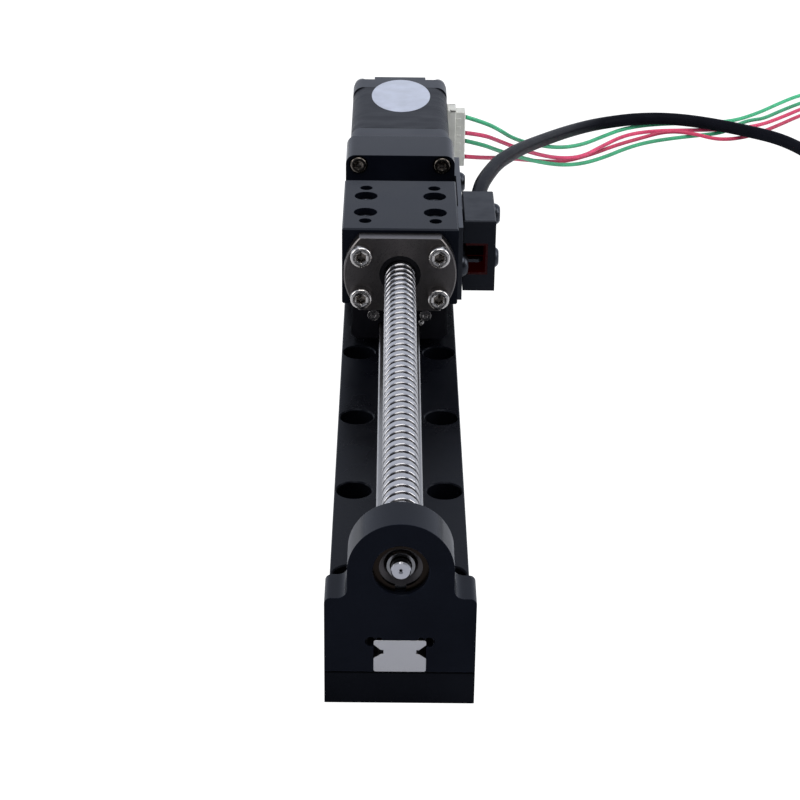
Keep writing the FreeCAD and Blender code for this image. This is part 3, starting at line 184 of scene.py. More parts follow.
class Paint(Wiring):
    """One Principled material while its nodes are wired up. Texture scales are per metre."""

    def __init__(self, name, metal=0.0, ior=1.5, tint=(1, 1, 1)):
        self.material = bpy.data.materials.new(name)
        self.material.use_nodes = True
        super().__init__(self.material.node_tree)
        self.shader = self.tree.nodes["Principled BSDF"]
        self.feed(self.shader.inputs["Metallic"], metal)
        self.feed(self.shader.inputs["IOR"], ior)
        self.feed(self.shader.inputs["Specular Tint"], tint)

    def grain(self, scale, detail, stretch=(1, 1, 1)):
        return self.add("ShaderNodeGroup", {"Scale": scale, "Detail": detail,
                                            "Stretch": stretch}, node_tree=GRAIN)["Value"]

    def patches(self, scale, start, full, least, most):
        """A mask from least to most, as the noise goes from start to full."""
        return self.add("ShaderNodeGroup", {
            "Scale": scale, "Start": start, "Full": full, "Least": least, "Most": most},
                        node_tree=PATCHES)["Mask"]

    def mottled(self, value, dark, light, gloss, matt):
        """A colour from dark to light, and a roughness from gloss to matt."""
        return self.add("ShaderNodeGroup", {
            "Value": value, "Dark": dark, "Light": light, "Gloss": gloss, "Matt": matt},
                        node_tree=MOTTLING)

    def worn_and_lit(self, colour, bare_and_lit, radius, amount):
        """Softens the edges of the surface, and lightens them towards another colour: partly wear,
        partly a painted highlight.
        """
        return self.add("ShaderNodeGroup", {
            "Colour": colour, "Bare And Lit": bare_and_lit, "Radius": radius * MM, "Amount": amount},
                        node_tree=EDGE_WEAR_AND_HIGHLIGHT)

    def cut_line(self, axis, full, clear):
        """A mask that is 1 from full outwards and 0 from clear inwards on one axis."""
        return self.add("ShaderNodeGroup", {
            "Direction": AXES[axis], "Full": full * MM, "Clear": clear * MM},
                        node_tree=CUT_LINE)["Mask"]

    def finish(self, colour, rough, height, depth, strength, normal=None):
        """Joins the finish to the shader, with a relief of that height in the surface."""
        relief = {"Height": height, "Distance": depth * MM, "Strength": strength}
        if normal is not None:
            relief["Normal"] = normal
        self.feed(self.shader.inputs["Base Color"], colour)
        self.feed(self.shader.inputs["Roughness"], rough)
        self.feed(self.shader.inputs["Normal"], self.add("ShaderNodeBump", relief)["Normal"])
        return self.material


def scaled(colour, factor):
    return tuple(channel * factor for channel in colour)


def anodised(name, colour, rough, ior, joint=()):
    """Bead-blasted aluminium under a black oxide: fine grain, soft clouding, worn edges with a
    painted highlight on them.

    A joint is a list of (axis, full, clear). Its line is black where all of them hold.
    """
    paint = Paint(name, ior=ior, tint=COOL)
    cloud = paint.mottled(paint.grain(70, 4), scaled(colour, 0.75), scaled(colour, 1.3),
                          rough - 0.05, rough + 0.06)
    edges = paint.worn_and_lit(cloud["Colour"], scaled(colour, 5.0), 0.16,
                       paint.patches(420, 0.3, 0.75, 0.1, 0.9))
    tone = edges["Colour"]
    if joint:
        line = 1.0
        for axis, full, clear in joint:
            line = paint.calc("MULTIPLY", paint.cut_line(axis, full, clear), line)
        tone = paint.blend(line, tone, (0, 0, 0))
    return paint.finish(tone, cloud["Roughness"], paint.grain(5200, 2), 0.006, 0.25,
                        edges["Normal"])


def steel(name, colour, rough, stretch=(1, 1, 1), edge=0.1, cut_end=None):
    """Ground or turned steel, with fine marks that run the way it was cut.

    Where cut_end is given, the end face at that place on Y is freshly cut.
    """
    paint = Paint(name, metal=1.0)
    height = paint.grain(5200, 3, stretch)
    marks = paint.mottled(height, scaled(colour, 0.86), scaled(colour, 1.06), rough - 0.03,
                          rough + 0.03)
    stained = paint.blend(paint.patches(160, 0.4, 0.7, 0.0, 0.35), marks["Colour"],
                          scaled(colour, 0.8))
    # Lighter edges: partly wear, partly a painted highlight.
    edges = paint.worn_and_lit(stained, scaled(colour, 1.3), edge, 0.35)
    tone = edges["Colour"]
    if cut_end is not None:
        fresh = paint.cut_line("Y", cut_end + 0.05, cut_end + 0.3)
        tone = paint.blend(fresh, tone, (0.95, 0.93, 0.92))
    return paint.finish(tone, marks["Roughness"], height, 0.0012, 0.2, edges["Normal"])


def moulded(name, colour, rough, ior=1.46, tint=(1, 1, 1)):
    """Moulded plastic with a fine spark-eroded grain."""
    paint = Paint(name, ior=ior, tint=tint)
    cloud = paint.mottled(paint.grain(230, 3), scaled(colour, 0.9), scaled(colour, 1.15),
                          rough - 0.05, rough + 0.07)
    # Lighter edges: partly wear, partly a painted highlight.
    edges = paint.worn_and_lit(cloud["Colour"], scaled(colour, 1.7), 0.12, 0.3)
    return paint.finish(edges["Colour"], cloud["Roughness"], paint.grain(2600, 3), 0.02, 0.3,
                        edges["Normal"])


def sheath(name, colour, rough=0.42, ior=1.45):
    """Extruded sheath of a cable or wire: soft clouding and a fine grain."""
    paint = Paint(name, ior=ior)
    cloud = paint.mottled(paint.grain(140, 4), scaled(colour, 0.85), scaled(colour, 1.2),
                          rough - 0.03, rough + 0.03)
    return paint.finish(cloud["Colour"], cloud["Roughness"], paint.grain(3600, 2), 0.002, 0.15)


STATOR_MIDDLE, STATOR_HALF, SHEET_THICK = 132.5, 18.0, 0.5


def laminated(name):
    """Steel sheets stacked along Y under dark lacquer, with a black seam at both ends."""
    paint = Paint(name, ior=1.22, tint=COOL)
    level = paint.along(AXES["Y"])
    wave = paint.calc("SINE", paint.calc("MULTIPLY", level, 2 * math.pi / (SHEET_THICK * MM)))
    off_middle = paint.calc("ABSOLUTE", paint.calc("SUBTRACT", level, STATOR_MIDDLE * MM))
    seam = paint.spread(off_middle, 0.0, 1.0, (STATOR_HALF - 0.15) * MM, STATOR_HALF * MM)
    cloud = paint.mottled(paint.grain(90, 2, (1, 3, 1)), (0.008, 0.0085, 0.011),
                          (0.012, 0.0125, 0.016), 0.38, 0.5)
    grooved = paint.blend(paint.spread(wave, 0.55, 0.0, -1.0, -0.2), cloud["Colour"],
                          (0.007, 0.007, 0.009))
    # Lighter edges: partly wear, partly a painted highlight.
    edges = paint.worn_and_lit(grooved, (0.05, 0.052, 0.06), 0.12, 0.3)
    tone = paint.blend(seam, edges["Colour"], (0.0005, 0.0005, 0.0007))
    return paint.finish(tone, cloud["Roughness"], wave, 0.02, 0.5, edges["Normal"])


def threaded(name, colour, groove_shade, rough):
    """Polished screw steel, with painted shade down in the thread's groove, and bright on its cut
    front end.
    """
    paint = Paint(name, metal=1.0)
    across = paint.calc("POWER", paint.along(AXES["X"]), 2.0)
    above = paint.calc("SUBTRACT", paint.along(AXES["Z"]), AXIS_HIGH * MM)
    radius = paint.calc("SQRT", paint.calc("ADD", across, paint.calc("POWER", above, 2.0)))
    # Painted shade: down in the thread's groove, less than 3.62 mm from the axis, the steel turns
    # to the dark colour given for the groove.
    deep = paint.spread(radius, 1.0, 0.0, 3.62 * MM, 3.9 * MM)
    height = paint.grain(3800, 3)
    marks = paint.mottled(height, scaled(colour, 0.9), scaled(colour, 1.05), rough - 0.03,
                          rough + 0.03)
    tone = paint.blend(paint.cut_line("Y", -106.4, -106.2),
                       paint.blend(deep, marks["Colour"], groove_shade), (0.98, 0.97, 1.0))
    return paint.finish(tone, marks["Roughness"], height, 0.001, 0.2)


def red_window(name):
    """Dark red plastic that lets a little light through, with a faint painted red glow."""
    paint = Paint(name, ior=1.2)
    paint.feed(paint.shader.inputs["Transmission Weight"], 0.35)
    # Painted glow: a faint red emission lights the window from within.
    paint.feed(paint.shader.inputs["Emission Color"], (1, 0.01, 0.015))
    paint.feed(paint.shader.inputs["Emission Strength"], 0.006)
    cloud = paint.mottled(paint.grain(300, 2), (0.009, 0.0003, 0.0006),
                          (0.016, 0.0004, 0.0008), 0.1, 0.2)
    return paint.finish(cloud["Colour"], cloud["Roughness"], paint.grain(1800, 2), 0.008, 0.3)


LOOKS = {
    "plate_black": anodised("plate_black", (0.003, 0.0034, 0.0052), 0.27, 1.165,
                            [("Z", 7.25, 7.1), ("Y", -106.55, -106.4)]),
    "block_black": anodised("block_black", (0.0034, 0.0042, 0.0072), 0.19, 1.19),
    "rail_steel": steel("rail_steel", (0.40, 0.39, 0.38), 0.3, (9, 0.25, 9),
                        cut_end=-106.6),
    "guide_steel": steel("guide_steel", (0.035, 0.036, 0.04), 0.34, (9, 0.25, 9)),
    # The third colour is the painted shade down in the thread's groove.
    "screw_steel": threaded("screw_steel", (0.46, 0.45, 0.455), (0.03, 0.029, 0.03), 0.19),
    "nut_steel": steel("nut_steel", (0.15, 0.138, 0.135), 0.3, (1, 6, 1)),
    "seal_black": moulded("seal_black", (0.004, 0.004, 0.005), 0.45, 1.2),
    "cap_black": moulded("cap_black", (0.004, 0.004, 0.006), 0.45, 1.2),
    "bearing_steel": steel("bearing_steel", (0.5, 0.49, 0.48), 0.14, edge=0.04),
    "ring_bronze": steel("ring_bronze", (0.035, 0.026, 0.02), 0.25),
    "screw_dark": steel("screw_dark", (0.16, 0.14, 0.12), 0.26),
    "screw_bright": steel("screw_bright", (0.66, 0.63, 0.60), 0.2),
    "motor_black": anodised("motor_black", (0.008, 0.0088, 0.0125), 0.32, 1.27,
                            [("Y", 107.2, 107.35)]),
    "stator_steel": laminated("stator_steel"),
    "rotor_steel": steel("rotor_steel", (0.3, 0.3, 0.3), 0.35),
    "coupling_alloy": steel("coupling_alloy", (0.6, 0.6, 0.61), 0.3),
    "plug_white": moulded("plug_white", (0.62, 0.62, 0.57), 0.4),
    # The specular tint paints the blue of the room's light into this part's reflections.
    "sensor_black": moulded("sensor_black", (0.005, 0.0056, 0.008), 0.38, 1.26,
                            tint=(0.8, 0.86, 1.0)),
    "sensor_red": red_window("sensor_red"),
    "flag_steel": steel("flag_steel", (0.045, 0.048, 0.056), 0.32),
    "cable_black": sheath("cable_black", (0.0055, 0.006, 0.009), 0.36, 1.07),
    "label_bare": moulded("label_bare", (0.40, 0.43, 0.52), 0.35),
    "wire_green": sheath("wire_green", (0.05, 0.44, 0.21)),
    "wire_green_dark": sheath("wire_green_dark", (0.035, 0.32, 0.15)),
    "wire_red": sheath("wire_red", (0.62, 0.045, 0.13)),
    "wire_red_dark": sheath("wire_red_dark", (0.48, 0.032, 0.09)),
}

for entry in frame["record"]["subparts"]:
    node = nodes[entry["node"]]
    node.data.materials.clear()
    node.data.materials.append(LOOKS[entry["material_slot"]])
    node.data.shade_smooth()
    node.data.set_sharp_from_angle(angle=SHARP_ON_NODES)


# Mesh helpers

def piece(name, mesh, slot, body, replaces=(), look=None):
    """A finished mesh becomes a piece of the object, in the look of its slot or its own."""
    thing = bpy.data.objects.new(name, mesh)
    scene.collection.objects.link(thing)
    mesh.materials.append(LOOKS[look or slot])
    mesh.shade_smooth()
    mesh.set_sharp_from_angle(angle=SHARP_ON_PIECES)
    if replaces:
        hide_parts(*replaces)
    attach(thing, body)
    return thing


def surface(name, corners, faces):
    """A mesh from corners in millimetres, welded, with its faces looking outwards."""
    mesh = bpy.data.meshes.new(name)
    mesh.from_pydata([tuple(value * MM for value in corner) for corner in corners], [], faces)
    work = bmesh.new()
    work.from_mesh(mesh)
    bmesh.ops.remove_doubles(work, verts=work.verts, dist=0.4e-6)
    bmesh.ops.recalc_face_normals(work, faces=work.faces)
    work.to_mesh(mesh)
    work.free()
    return mesh


def ring_of_points(radius, high, count, flats):
    """A circle, or a hexagon of that half width across its flats, as points on a level."""
    points = []
    for step in range(count):
        angle = 2 * math.pi * step / count
        reach = radius
        if flats:
            wedge = (angle + math.pi / 6) % (math.pi / 3) - math.pi / 6
            reach = radius / math.cos(wedge)
        points.append((reach * math.cos(angle), reach * math.sin(angle), high))
    return points


def stacked(levels, count):
    """The faces of a closed solid whose corners go round it level by level."""
    faces = []
    for level in range(levels - 1):
        low, high = level * count, (level + 1) * count
        for step in range(count):
            after = (step + 1) % count
            faces.append((low + step, low + after, high + after, high + step))
    faces.append(tuple(reversed(range(count))))
    faces.append(tuple(range((levels - 1) * count, levels * count)))
    return faces


def turned(rings, at, facing, count=48):
    """A closed solid from levels (radius, height) or (half flats, height, True)."""
    corners = []
    for ring in rings:
        corners += ring_of_points(ring[0], ring[1], count, len(ring) > 2)
    return placed(corners, at, facing), stacked(len(rings), count)


def revolved(profile, at, facing=(0, 1, 0), count=64):
    """A closed loop of (radius, along) turned round the line through at along facing."""
    corners = []
    faces = []
    size = len(profile)
    for step in range(count):
        angle = 2 * math.pi * step / count
        after = (step + 1) % count
        for index, (radius, along) in enumerate(profile):
            corners.append((radius * math.cos(angle), radius * math.sin(angle), along))
            following = (index + 1) % size
            faces.append((step * size + index, step * size + following,
                          after * size + following, after * size + index))
    return placed(corners, at, facing), faces


def block(low, high, edge):
    """A box with all its edges cut at 45 degrees."""
    middle = [(first + second) / 2 for first, second in zip(low, high)]
    half = [(second - first) / 2 for first, second in zip(low, high)]
    work = bmesh.new()
    for signs in itertools.product((-1, 1), repeat=3):
        for face in range(3):
            work.verts.new([middle[axis] + signs[axis] * (half[axis] - (axis != face) * edge)
                            for axis in range(3)])
    bmesh.ops.convex_hull(work, input=work.verts)
    work.verts.index_update()
    corners = [corner.co.copy() for corner in work.verts]
    faces = [tuple(corner.index for corner in face.verts) for face in work.faces]
    work.free()
    return corners, faces


def placed(corners, at, facing):
    """Turns points so that their +Z looks along facing, and moves them to at."""
    turn = Vector((0, 0, 1)).rotation_difference(Vector(facing)).to_matrix()
    return [turn @ Vector(corner) + Vector(at) for corner in corners]


def gathered(name, parts):
    """One mesh from several (corners, faces) pairs."""
    corners, faces = [], []
    for some_corners, some_faces in parts:
        start = len(corners)
        corners += some_corners
        faces += [tuple(index + start for index in face) for face in some_faces]
    return surface(name, corners, faces)


# Camera, fitted to the photograph

PITCH, YAW, ROLL = math.radians(26.381), math.radians(0.396), math.radians(-0.736)
CAMERA_AT = (-3.05 * MM, -459.774 * MM, 243.142 * MM)
SENSOR_WIDE = 36
FOCAL_PIXELS, PICTURE_PIXELS = 2115, 800


def look_through_camera():
    ahead = Vector((math.sin(YAW) * math.cos(PITCH), math.cos(YAW) * math.cos(PITCH),
                    -math.sin(PITCH)))
    level = Vector((math.cos(YAW), -math.sin(YAW), 0))
    down = ahead.cross(level)
    right = level * math.cos(ROLL) + down * math.sin(ROLL)
    below = -level * math.sin(ROLL) + down * math.cos(ROLL)
    camera = bpy.data.objects.new("Camera", bpy.data.cameras.new("Camera"))
    camera.data.sensor_width = SENSOR_WIDE
    camera.data.lens = SENSOR_WIDE * FOCAL_PIXELS / PICTURE_PIXELS
    camera.data.clip_start = 0.01
    facing = Matrix((right, -below, -ahead)).transposed().to_4x4()
    camera.matrix_world = Matrix.Translation(CAMERA_AT) @ facing
    scene.collection.objects.link(camera)
    scene.camera = camera


look_through_camera()


# Ball screw with its rolled thread

LEAD = 3.0
THREAD_FROM, THREAD_TO = -99.9, 90.0
THREAD_RADIUS = 4.0
STEPS_A_TURN = 56
# One turn as (along the lead, depth below the outside): a crowned crest, then the ball groove.
GROOVE = [(0.0, 0.0), (0.3, 0.01), (0.6, 0.045), (0.82, 0.09), (0.94, 0.18), (1.06, 0.34),
          (1.24, 0.49), (1.44, 0.54), (1.64, 0.49), (1.82, 0.34), (1.94, 0.18), (2.06, 0.09),
          (2.28, 0.045), (2.6, 0.01), (LEAD, 0.0)]


def thread_strip():
    """A right-hand helical strip, cut off square at both ends of the thread."""
    corners = []
    faces = []
    across = len(GROOVE)
    turns = int((THREAD_TO - THREAD_FROM) / LEAD) + 3
    for step in range(turns * STEPS_A_TURN + 1):
        angle = 2 * math.pi * step / STEPS_A_TURN
        for along, depth in GROOVE:
            level = THREAD_FROM + LEAD * (step / STEPS_A_TURN - 1.5) + along
            level = min(max(level, THREAD_FROM), THREAD_TO)
            chamfer = THREAD_RADIUS - 0.6 + min(level - THREAD_FROM, THREAD_TO - level)
            radius = min(THREAD_RADIUS - depth, chamfer)
            corners.append((radius * math.sin(angle), level,
                            AXIS_HIGH + radius * math.cos(angle)))
    for step in range(turns * STEPS_A_TURN):
        for index in range(across - 1):
            low = step * across + index
            faces.append((low, low + 1, low + across + 1, low + across))
    return corners, faces


# The plain shaft as (radius, place on Y): front journal, core of the thread, rear collar and
# rear journal. Its front end has a small centre hole.
SHAFT = [(0.02, -106.0), (0.5, -106.55), (0.62, -106.6), (1.75, -106.6), (2.0, -106.35),
         (2.0, -99.9), (2.8, -99.9), (3.2, -99.9), (3.2, 90.0), (3.1, 90.0), (3.1, 91.4),
         (2.5, 91.4), (2.5, 100.35), (2.2, 100.65), (0.02, 100.65)]
piece("ball_screw_thread", gathered("ball_screw_thread", [
    thread_strip(), revolved(SHAFT, SCREW_AXIS)]), "screw_steel", "screw", ["ball_screw"])


# Front bearing: outer race, recessed shield and inner race

def ring_round_screw(name, profile, body, replaces=(), look=None):
    """A ring from a closed loop of (radius, place on Y)."""
    piece(name, gathered(name, [revolved(profile, SCREW_AXIS)]), "bearing_steel", body, replaces,
          look)


RACE_FROM, RACE_TO = -104.5, -100.5
BORE, BORE_EDGE, SHIELD_EDGE, OUTER = 2.0, 3.25, 4.6, 5.5

ring_round_screw("front_bearing_race", [
    (OUTER - 0.15, RACE_FROM), (OUTER, RACE_FROM + 0.15), (OUTER, RACE_TO - 0.15),
    (OUTER - 0.15, RACE_TO), (SHIELD_EDGE, RACE_TO), (SHIELD_EDGE - 0.2, RACE_TO - 0.3),
    (SHIELD_EDGE - 0.2, RACE_FROM + 0.3), (SHIELD_EDGE, RACE_FROM)],
                 "base", ["front_bearing_outer"])
ring_round_screw("front_bearing_shield", [
    (SHIELD_EDGE - 0.15, RACE_TO - 0.1), (BORE_EDGE + 0.06, RACE_TO - 0.6),
    (BORE_EDGE + 0.06, RACE_FROM + 0.6), (SHIELD_EDGE - 0.45, RACE_FROM + 0.2),
    (SHIELD_EDGE - 0.15, RACE_FROM + 0.1)], "base", look="nut_steel")
ring_round_screw("front_bearing_cone", [
    (BORE, RACE_FROM + 0.2), (BORE + 0.2, RACE_FROM), (BORE_EDGE - 0.45, RACE_FROM),
    (BORE_EDGE, RACE_FROM + 0.45), (BORE_EDGE, RACE_TO - 0.45), (BORE_EDGE - 0.45, RACE_TO),
    (BORE + 0.2, RACE_TO), (BORE, RACE_TO - 0.2)], "screw", ["front_bearing_inner"])


# Button screws

def button_screws(name, places, reach, body):
    """M3 button heads that face +X on shanks of that reach, each with a hexagon socket."""
    shank, radius, tall, flats = 1.5, 2.85, 1.6, 1.0
    rings = [(shank - 0.2, -reach), (shank, 0.2 - reach), (shank, 0), (radius, 0),
             (radius, tall * 0.2), (radius * 0.95, tall * 0.5), (radius * 0.82, tall * 0.8),
             (radius * 0.66, tall), (flats + 0.3, tall), (flats, tall - 0.1, True),
             (flats, tall * 0.35, True)]
    piece(name + "_heads", gathered(name + "_heads", [
        turned(rings, place, (1, 0, 0)) for place in places]), "screw_dark", body, [name],
          look="flag_steel")


button_screws("flag_screws", [(16.2, y, 29.4) for y in (50.7, 59.3)], 4.2, "carriage")
button_screws("sensor_screws", [(25.0, 68.0, z) for z in (24.65, 37.05)], 9.6, "base")
button_screws("bracket_screws", [(16.6, 98.6, z) for z in (27.3, 34.5)], 4.6, "base")


# Cap screws. A size is (head radius, head height, half width of the hexagon, shank radius).

M3 = (2.75, 3.0, 1.25, 1.5)
M2_5 = (2.25, 2.5, 1.0, 1.25)
M2_5_LOW = (2.25, 2.07, 1.0, 1.25)
MOTOR_BOLTS = [(x, z) for x in (-11.5, 11.5) for z in (19.3, 42.3)]


def cap_screws(node, places, facing, size, reach, slot, body, look=None):
    """Round-edged heads on shanks of that reach, each with a hexagon socket in the dark screw
    steel, which is painted shade where the head is brighter.
    """
    radius, tall, flats, shank = size
    rounding = radius * 0.2
    head = [(shank - 0.2, -reach), (shank, 0.2 - reach), (shank, 0), (radius - 0.1, 0),
            (radius, 0.1)]
    for step in range(6):
        angle = math.pi / 2 * step / 5
        head.append((radius - rounding * (1 - math.cos(angle)),
                     tall - rounding * (1 - math.sin(angle))))
    deep = tall * 0.55
    head += [(flats + 0.3, tall), (flats, tall - 0.15, True), (flats, tall - deep, True)]
    socket = [(flats - 0.03, tall - deep - 0.1, True), (flats - 0.03, tall - 0.38, True),
              (flats - 0.2, tall - 0.5, True), (flats - 0.3, tall - deep + 0.3, True),
              (0.06, tall - deep)]
    # The sockets take the dark screw steel: on bright heads it is painted shade down in the socket.
    for suffix, rings, look_slot, replaces in (("_heads", head, slot, [node]),
                                               ("_sockets", socket, "screw_dark", [])):
        piece(node + suffix, gathered(node + suffix, [
            turned(rings, place, facing) for place in places]), look_slot, body, replaces, look)


cap_screws("nut_screws", [(x, 40.5, z) for x in (-9.96, 9.96) for z in (25.05, 36.55)],
           (0, -1, 0), M3, 8.2, "screw_bright", "carriage")
cap_screws("mount_screws", [(x, 92.6, z) for x, z in MOTOR_BOLTS], (0, -1, 0), M2_5, 17.6,
           "screw_dark", "base")
cap_screws("motor_bolts", [(x, 159.0, z) for x, z in MOTOR_BOLTS], (0, 1, 0), M2_5_LOW, 47.36,
           "screw_dark", "base")
cap_screws("rail_screws", [(0, -90.6 + 25 * row, 11.4) for row in range(8)], (0, 0, 1), M3,
           8.36, "screw_dark", "base")
cap_screws("carriage_screws", [(x, y, 37.35) for x in (-9.1, 9.1) for y in (56.15, 67.95)],
           (0, 0, 1), M3, 19.35, "screw_dark", "carriage", "flag_steel")


# Grease point on the guide block's front cap

piece("grease_point", gathered("grease_point", [turned([
    (0.75, -0.5), (0.75, 0.1), (0.5, 0.25), (0.5, 0.5), (0.62, 0.7), (0.5, 0.95), (0.2, 1.05),
    (0.12, 0.9)], (5.7, 45.45, 15.3), (0, -1, 0), 24)]), "screw_bright", "carriage")


# Motor plug: shrouded header on the motor, and the plug with a sleeve round each wire

PLUG_WAYS = [24.95, 27.45, 29.95, 32.45, 34.95, 37.45]
piece("header_shroud", gathered("header_shroud", [
    block((14.1, 143.2, 21.9), (15.1, 149.6, 40.5), 0.15),
    block((14.9, 143.2, 21.9), (16.7, 143.85, 40.5), 0.15),
    block((14.9, 143.2, 21.9), (16.7, 149.6, 22.55), 0.15),
    block((14.9, 143.2, 39.85), (16.7, 149.6, 40.5), 0.15)] + [
    block((14.9, 148.95, low), (16.7, 149.6, high), 0.15)
    for low, high in ((21.9, 25.4), (28.6, 33.8), (37.0, 40.5))]),
      "plug_white", "base", ["motor_header"])
piece("plug_housing", gathered("plug_housing", [
    block((15.3, 144.0, 22.7), (19.55, 148.5, 39.7), 0.2)] + [
    block((15.5, 148.3, high - 0.55), (19.0, 148.83, high + 0.55), 0.15) for high in PLUG_WAYS] + [
    block((16.9, 143.97, high - 0.4), (18.3, 144.2, high + 0.4), 0.08) for high in PLUG_WAYS] + [
    revolved([(0.7, 0), (1.1, 0), (1.1, 0.65), (1.0, 0.75), (0.7, 0.75)],
             (18.95, 146.4, high), (1, 0, 0), 32) for high in PLUG_WAYS]),
      "plug_white", "base", ["motor_plug"])


# Bare label on the motor's top

def oval(middle, half_x, half_y, low, high):
    """A thin plate with its upper edge softened."""
    count = 96
    corners = []
    for level, inset in ((low, 0), (high - 0.02, 0), (high, 0.12)):
        for step in range(count):
            angle = 2 * math.pi * step / count
            corners.append((middle[0] + (half_x - inset) * math.cos(angle),
                            middle[1] + (half_y - inset) * math.sin(angle), level))
    return corners, stacked(3, count)


piece("motor_label", gathered("motor_label", [oval((0.25, 143.4), 8.65, 15.0, 44.88, 44.97)]),
      "plug_white", "base", look="label_bare")


# Ribbed strain relief where the cable leaves the sensor

def strain_relief():
    rings = [(2.8, 0.0), (2.8, 1.0), (2.6, 1.15)]
    for rib in range(4):
        radius = 2.75 - rib * 0.12
        along = 1.3 + rib * 0.9
        rings += [(radius - 0.35, along), (radius - 0.35, along + 0.3), (radius, along + 0.4),
                  (radius, along + 0.75), (radius - 0.12, along + 0.85)]
    rings += [(2.3, 4.95), (2.14, 5.0)]
    return turned(rings, (21.22, 75.6, 36.6), (0, 1, 0))


piece("strain_relief", gathered("strain_relief", [strain_relief()]), "cable_black", "base",
      ["sensor_gland"])


# Plugs at the free ends of the leads

piece("lead_plug_housing", gathered("lead_plug_housing", [
    block((184.0, 253.2, 0.3), (198.8, 262.4, 4.9), 0.3),
    block((184.9, 262.2, 0.7), (197.9, 263.0, 4.5), 0.2),
    block((188.4, 253.6, 4.7), (194.4, 260.4, 5.2), 0.2),
    block((184.0, 252.0, 0.0), (198.8, 253.5, 5.2), 0.3)] + [
    block((x - 0.3, 254.0, 0.0), (x + 0.3, 262.0, 0.5), 0.1)
    for x in (184.6, 188.0, 191.4, 194.8, 198.2)] + [
    revolved([(0.7, 0), (1.15, 0), (1.15, 0.4), (0.7, 0.4)], (x, 262.8, 2.6), (0, 1, 0), 32)
    for x in (186.0, 189.6, 193.2, 196.8)]), "plug_white", "base", ["motor_lead_plug"])
piece("cable_plug_housing", gathered("cable_plug_housing", [
    block((198.2, 188.1, 0.2), (206.3, 197.3, 5.2), 0.4),
    block((195.8, 189.6, 0.4), (198.6, 195.8, 5.0), 0.4),
    block((199.6, 190.3, 5.0), (204.9, 195.1, 5.4), 0.15)] + [
    block((x, 188.1, 0.0), (x + 0.5, 197.3, 0.5), 0.1) for x in (199.2, 201.2, 203.2, 205.2)] + [
    revolved([(2.15, 0), (2.6, 0), (2.6, 0.6), (2.15, 0.6)], (195.3, 192.7, 2.62), (1, 0, 0), 40)]),
      "sensor_black", "base", ["sensor_cable_plug"])


# Free leads. The points are those of the CAD tubes.

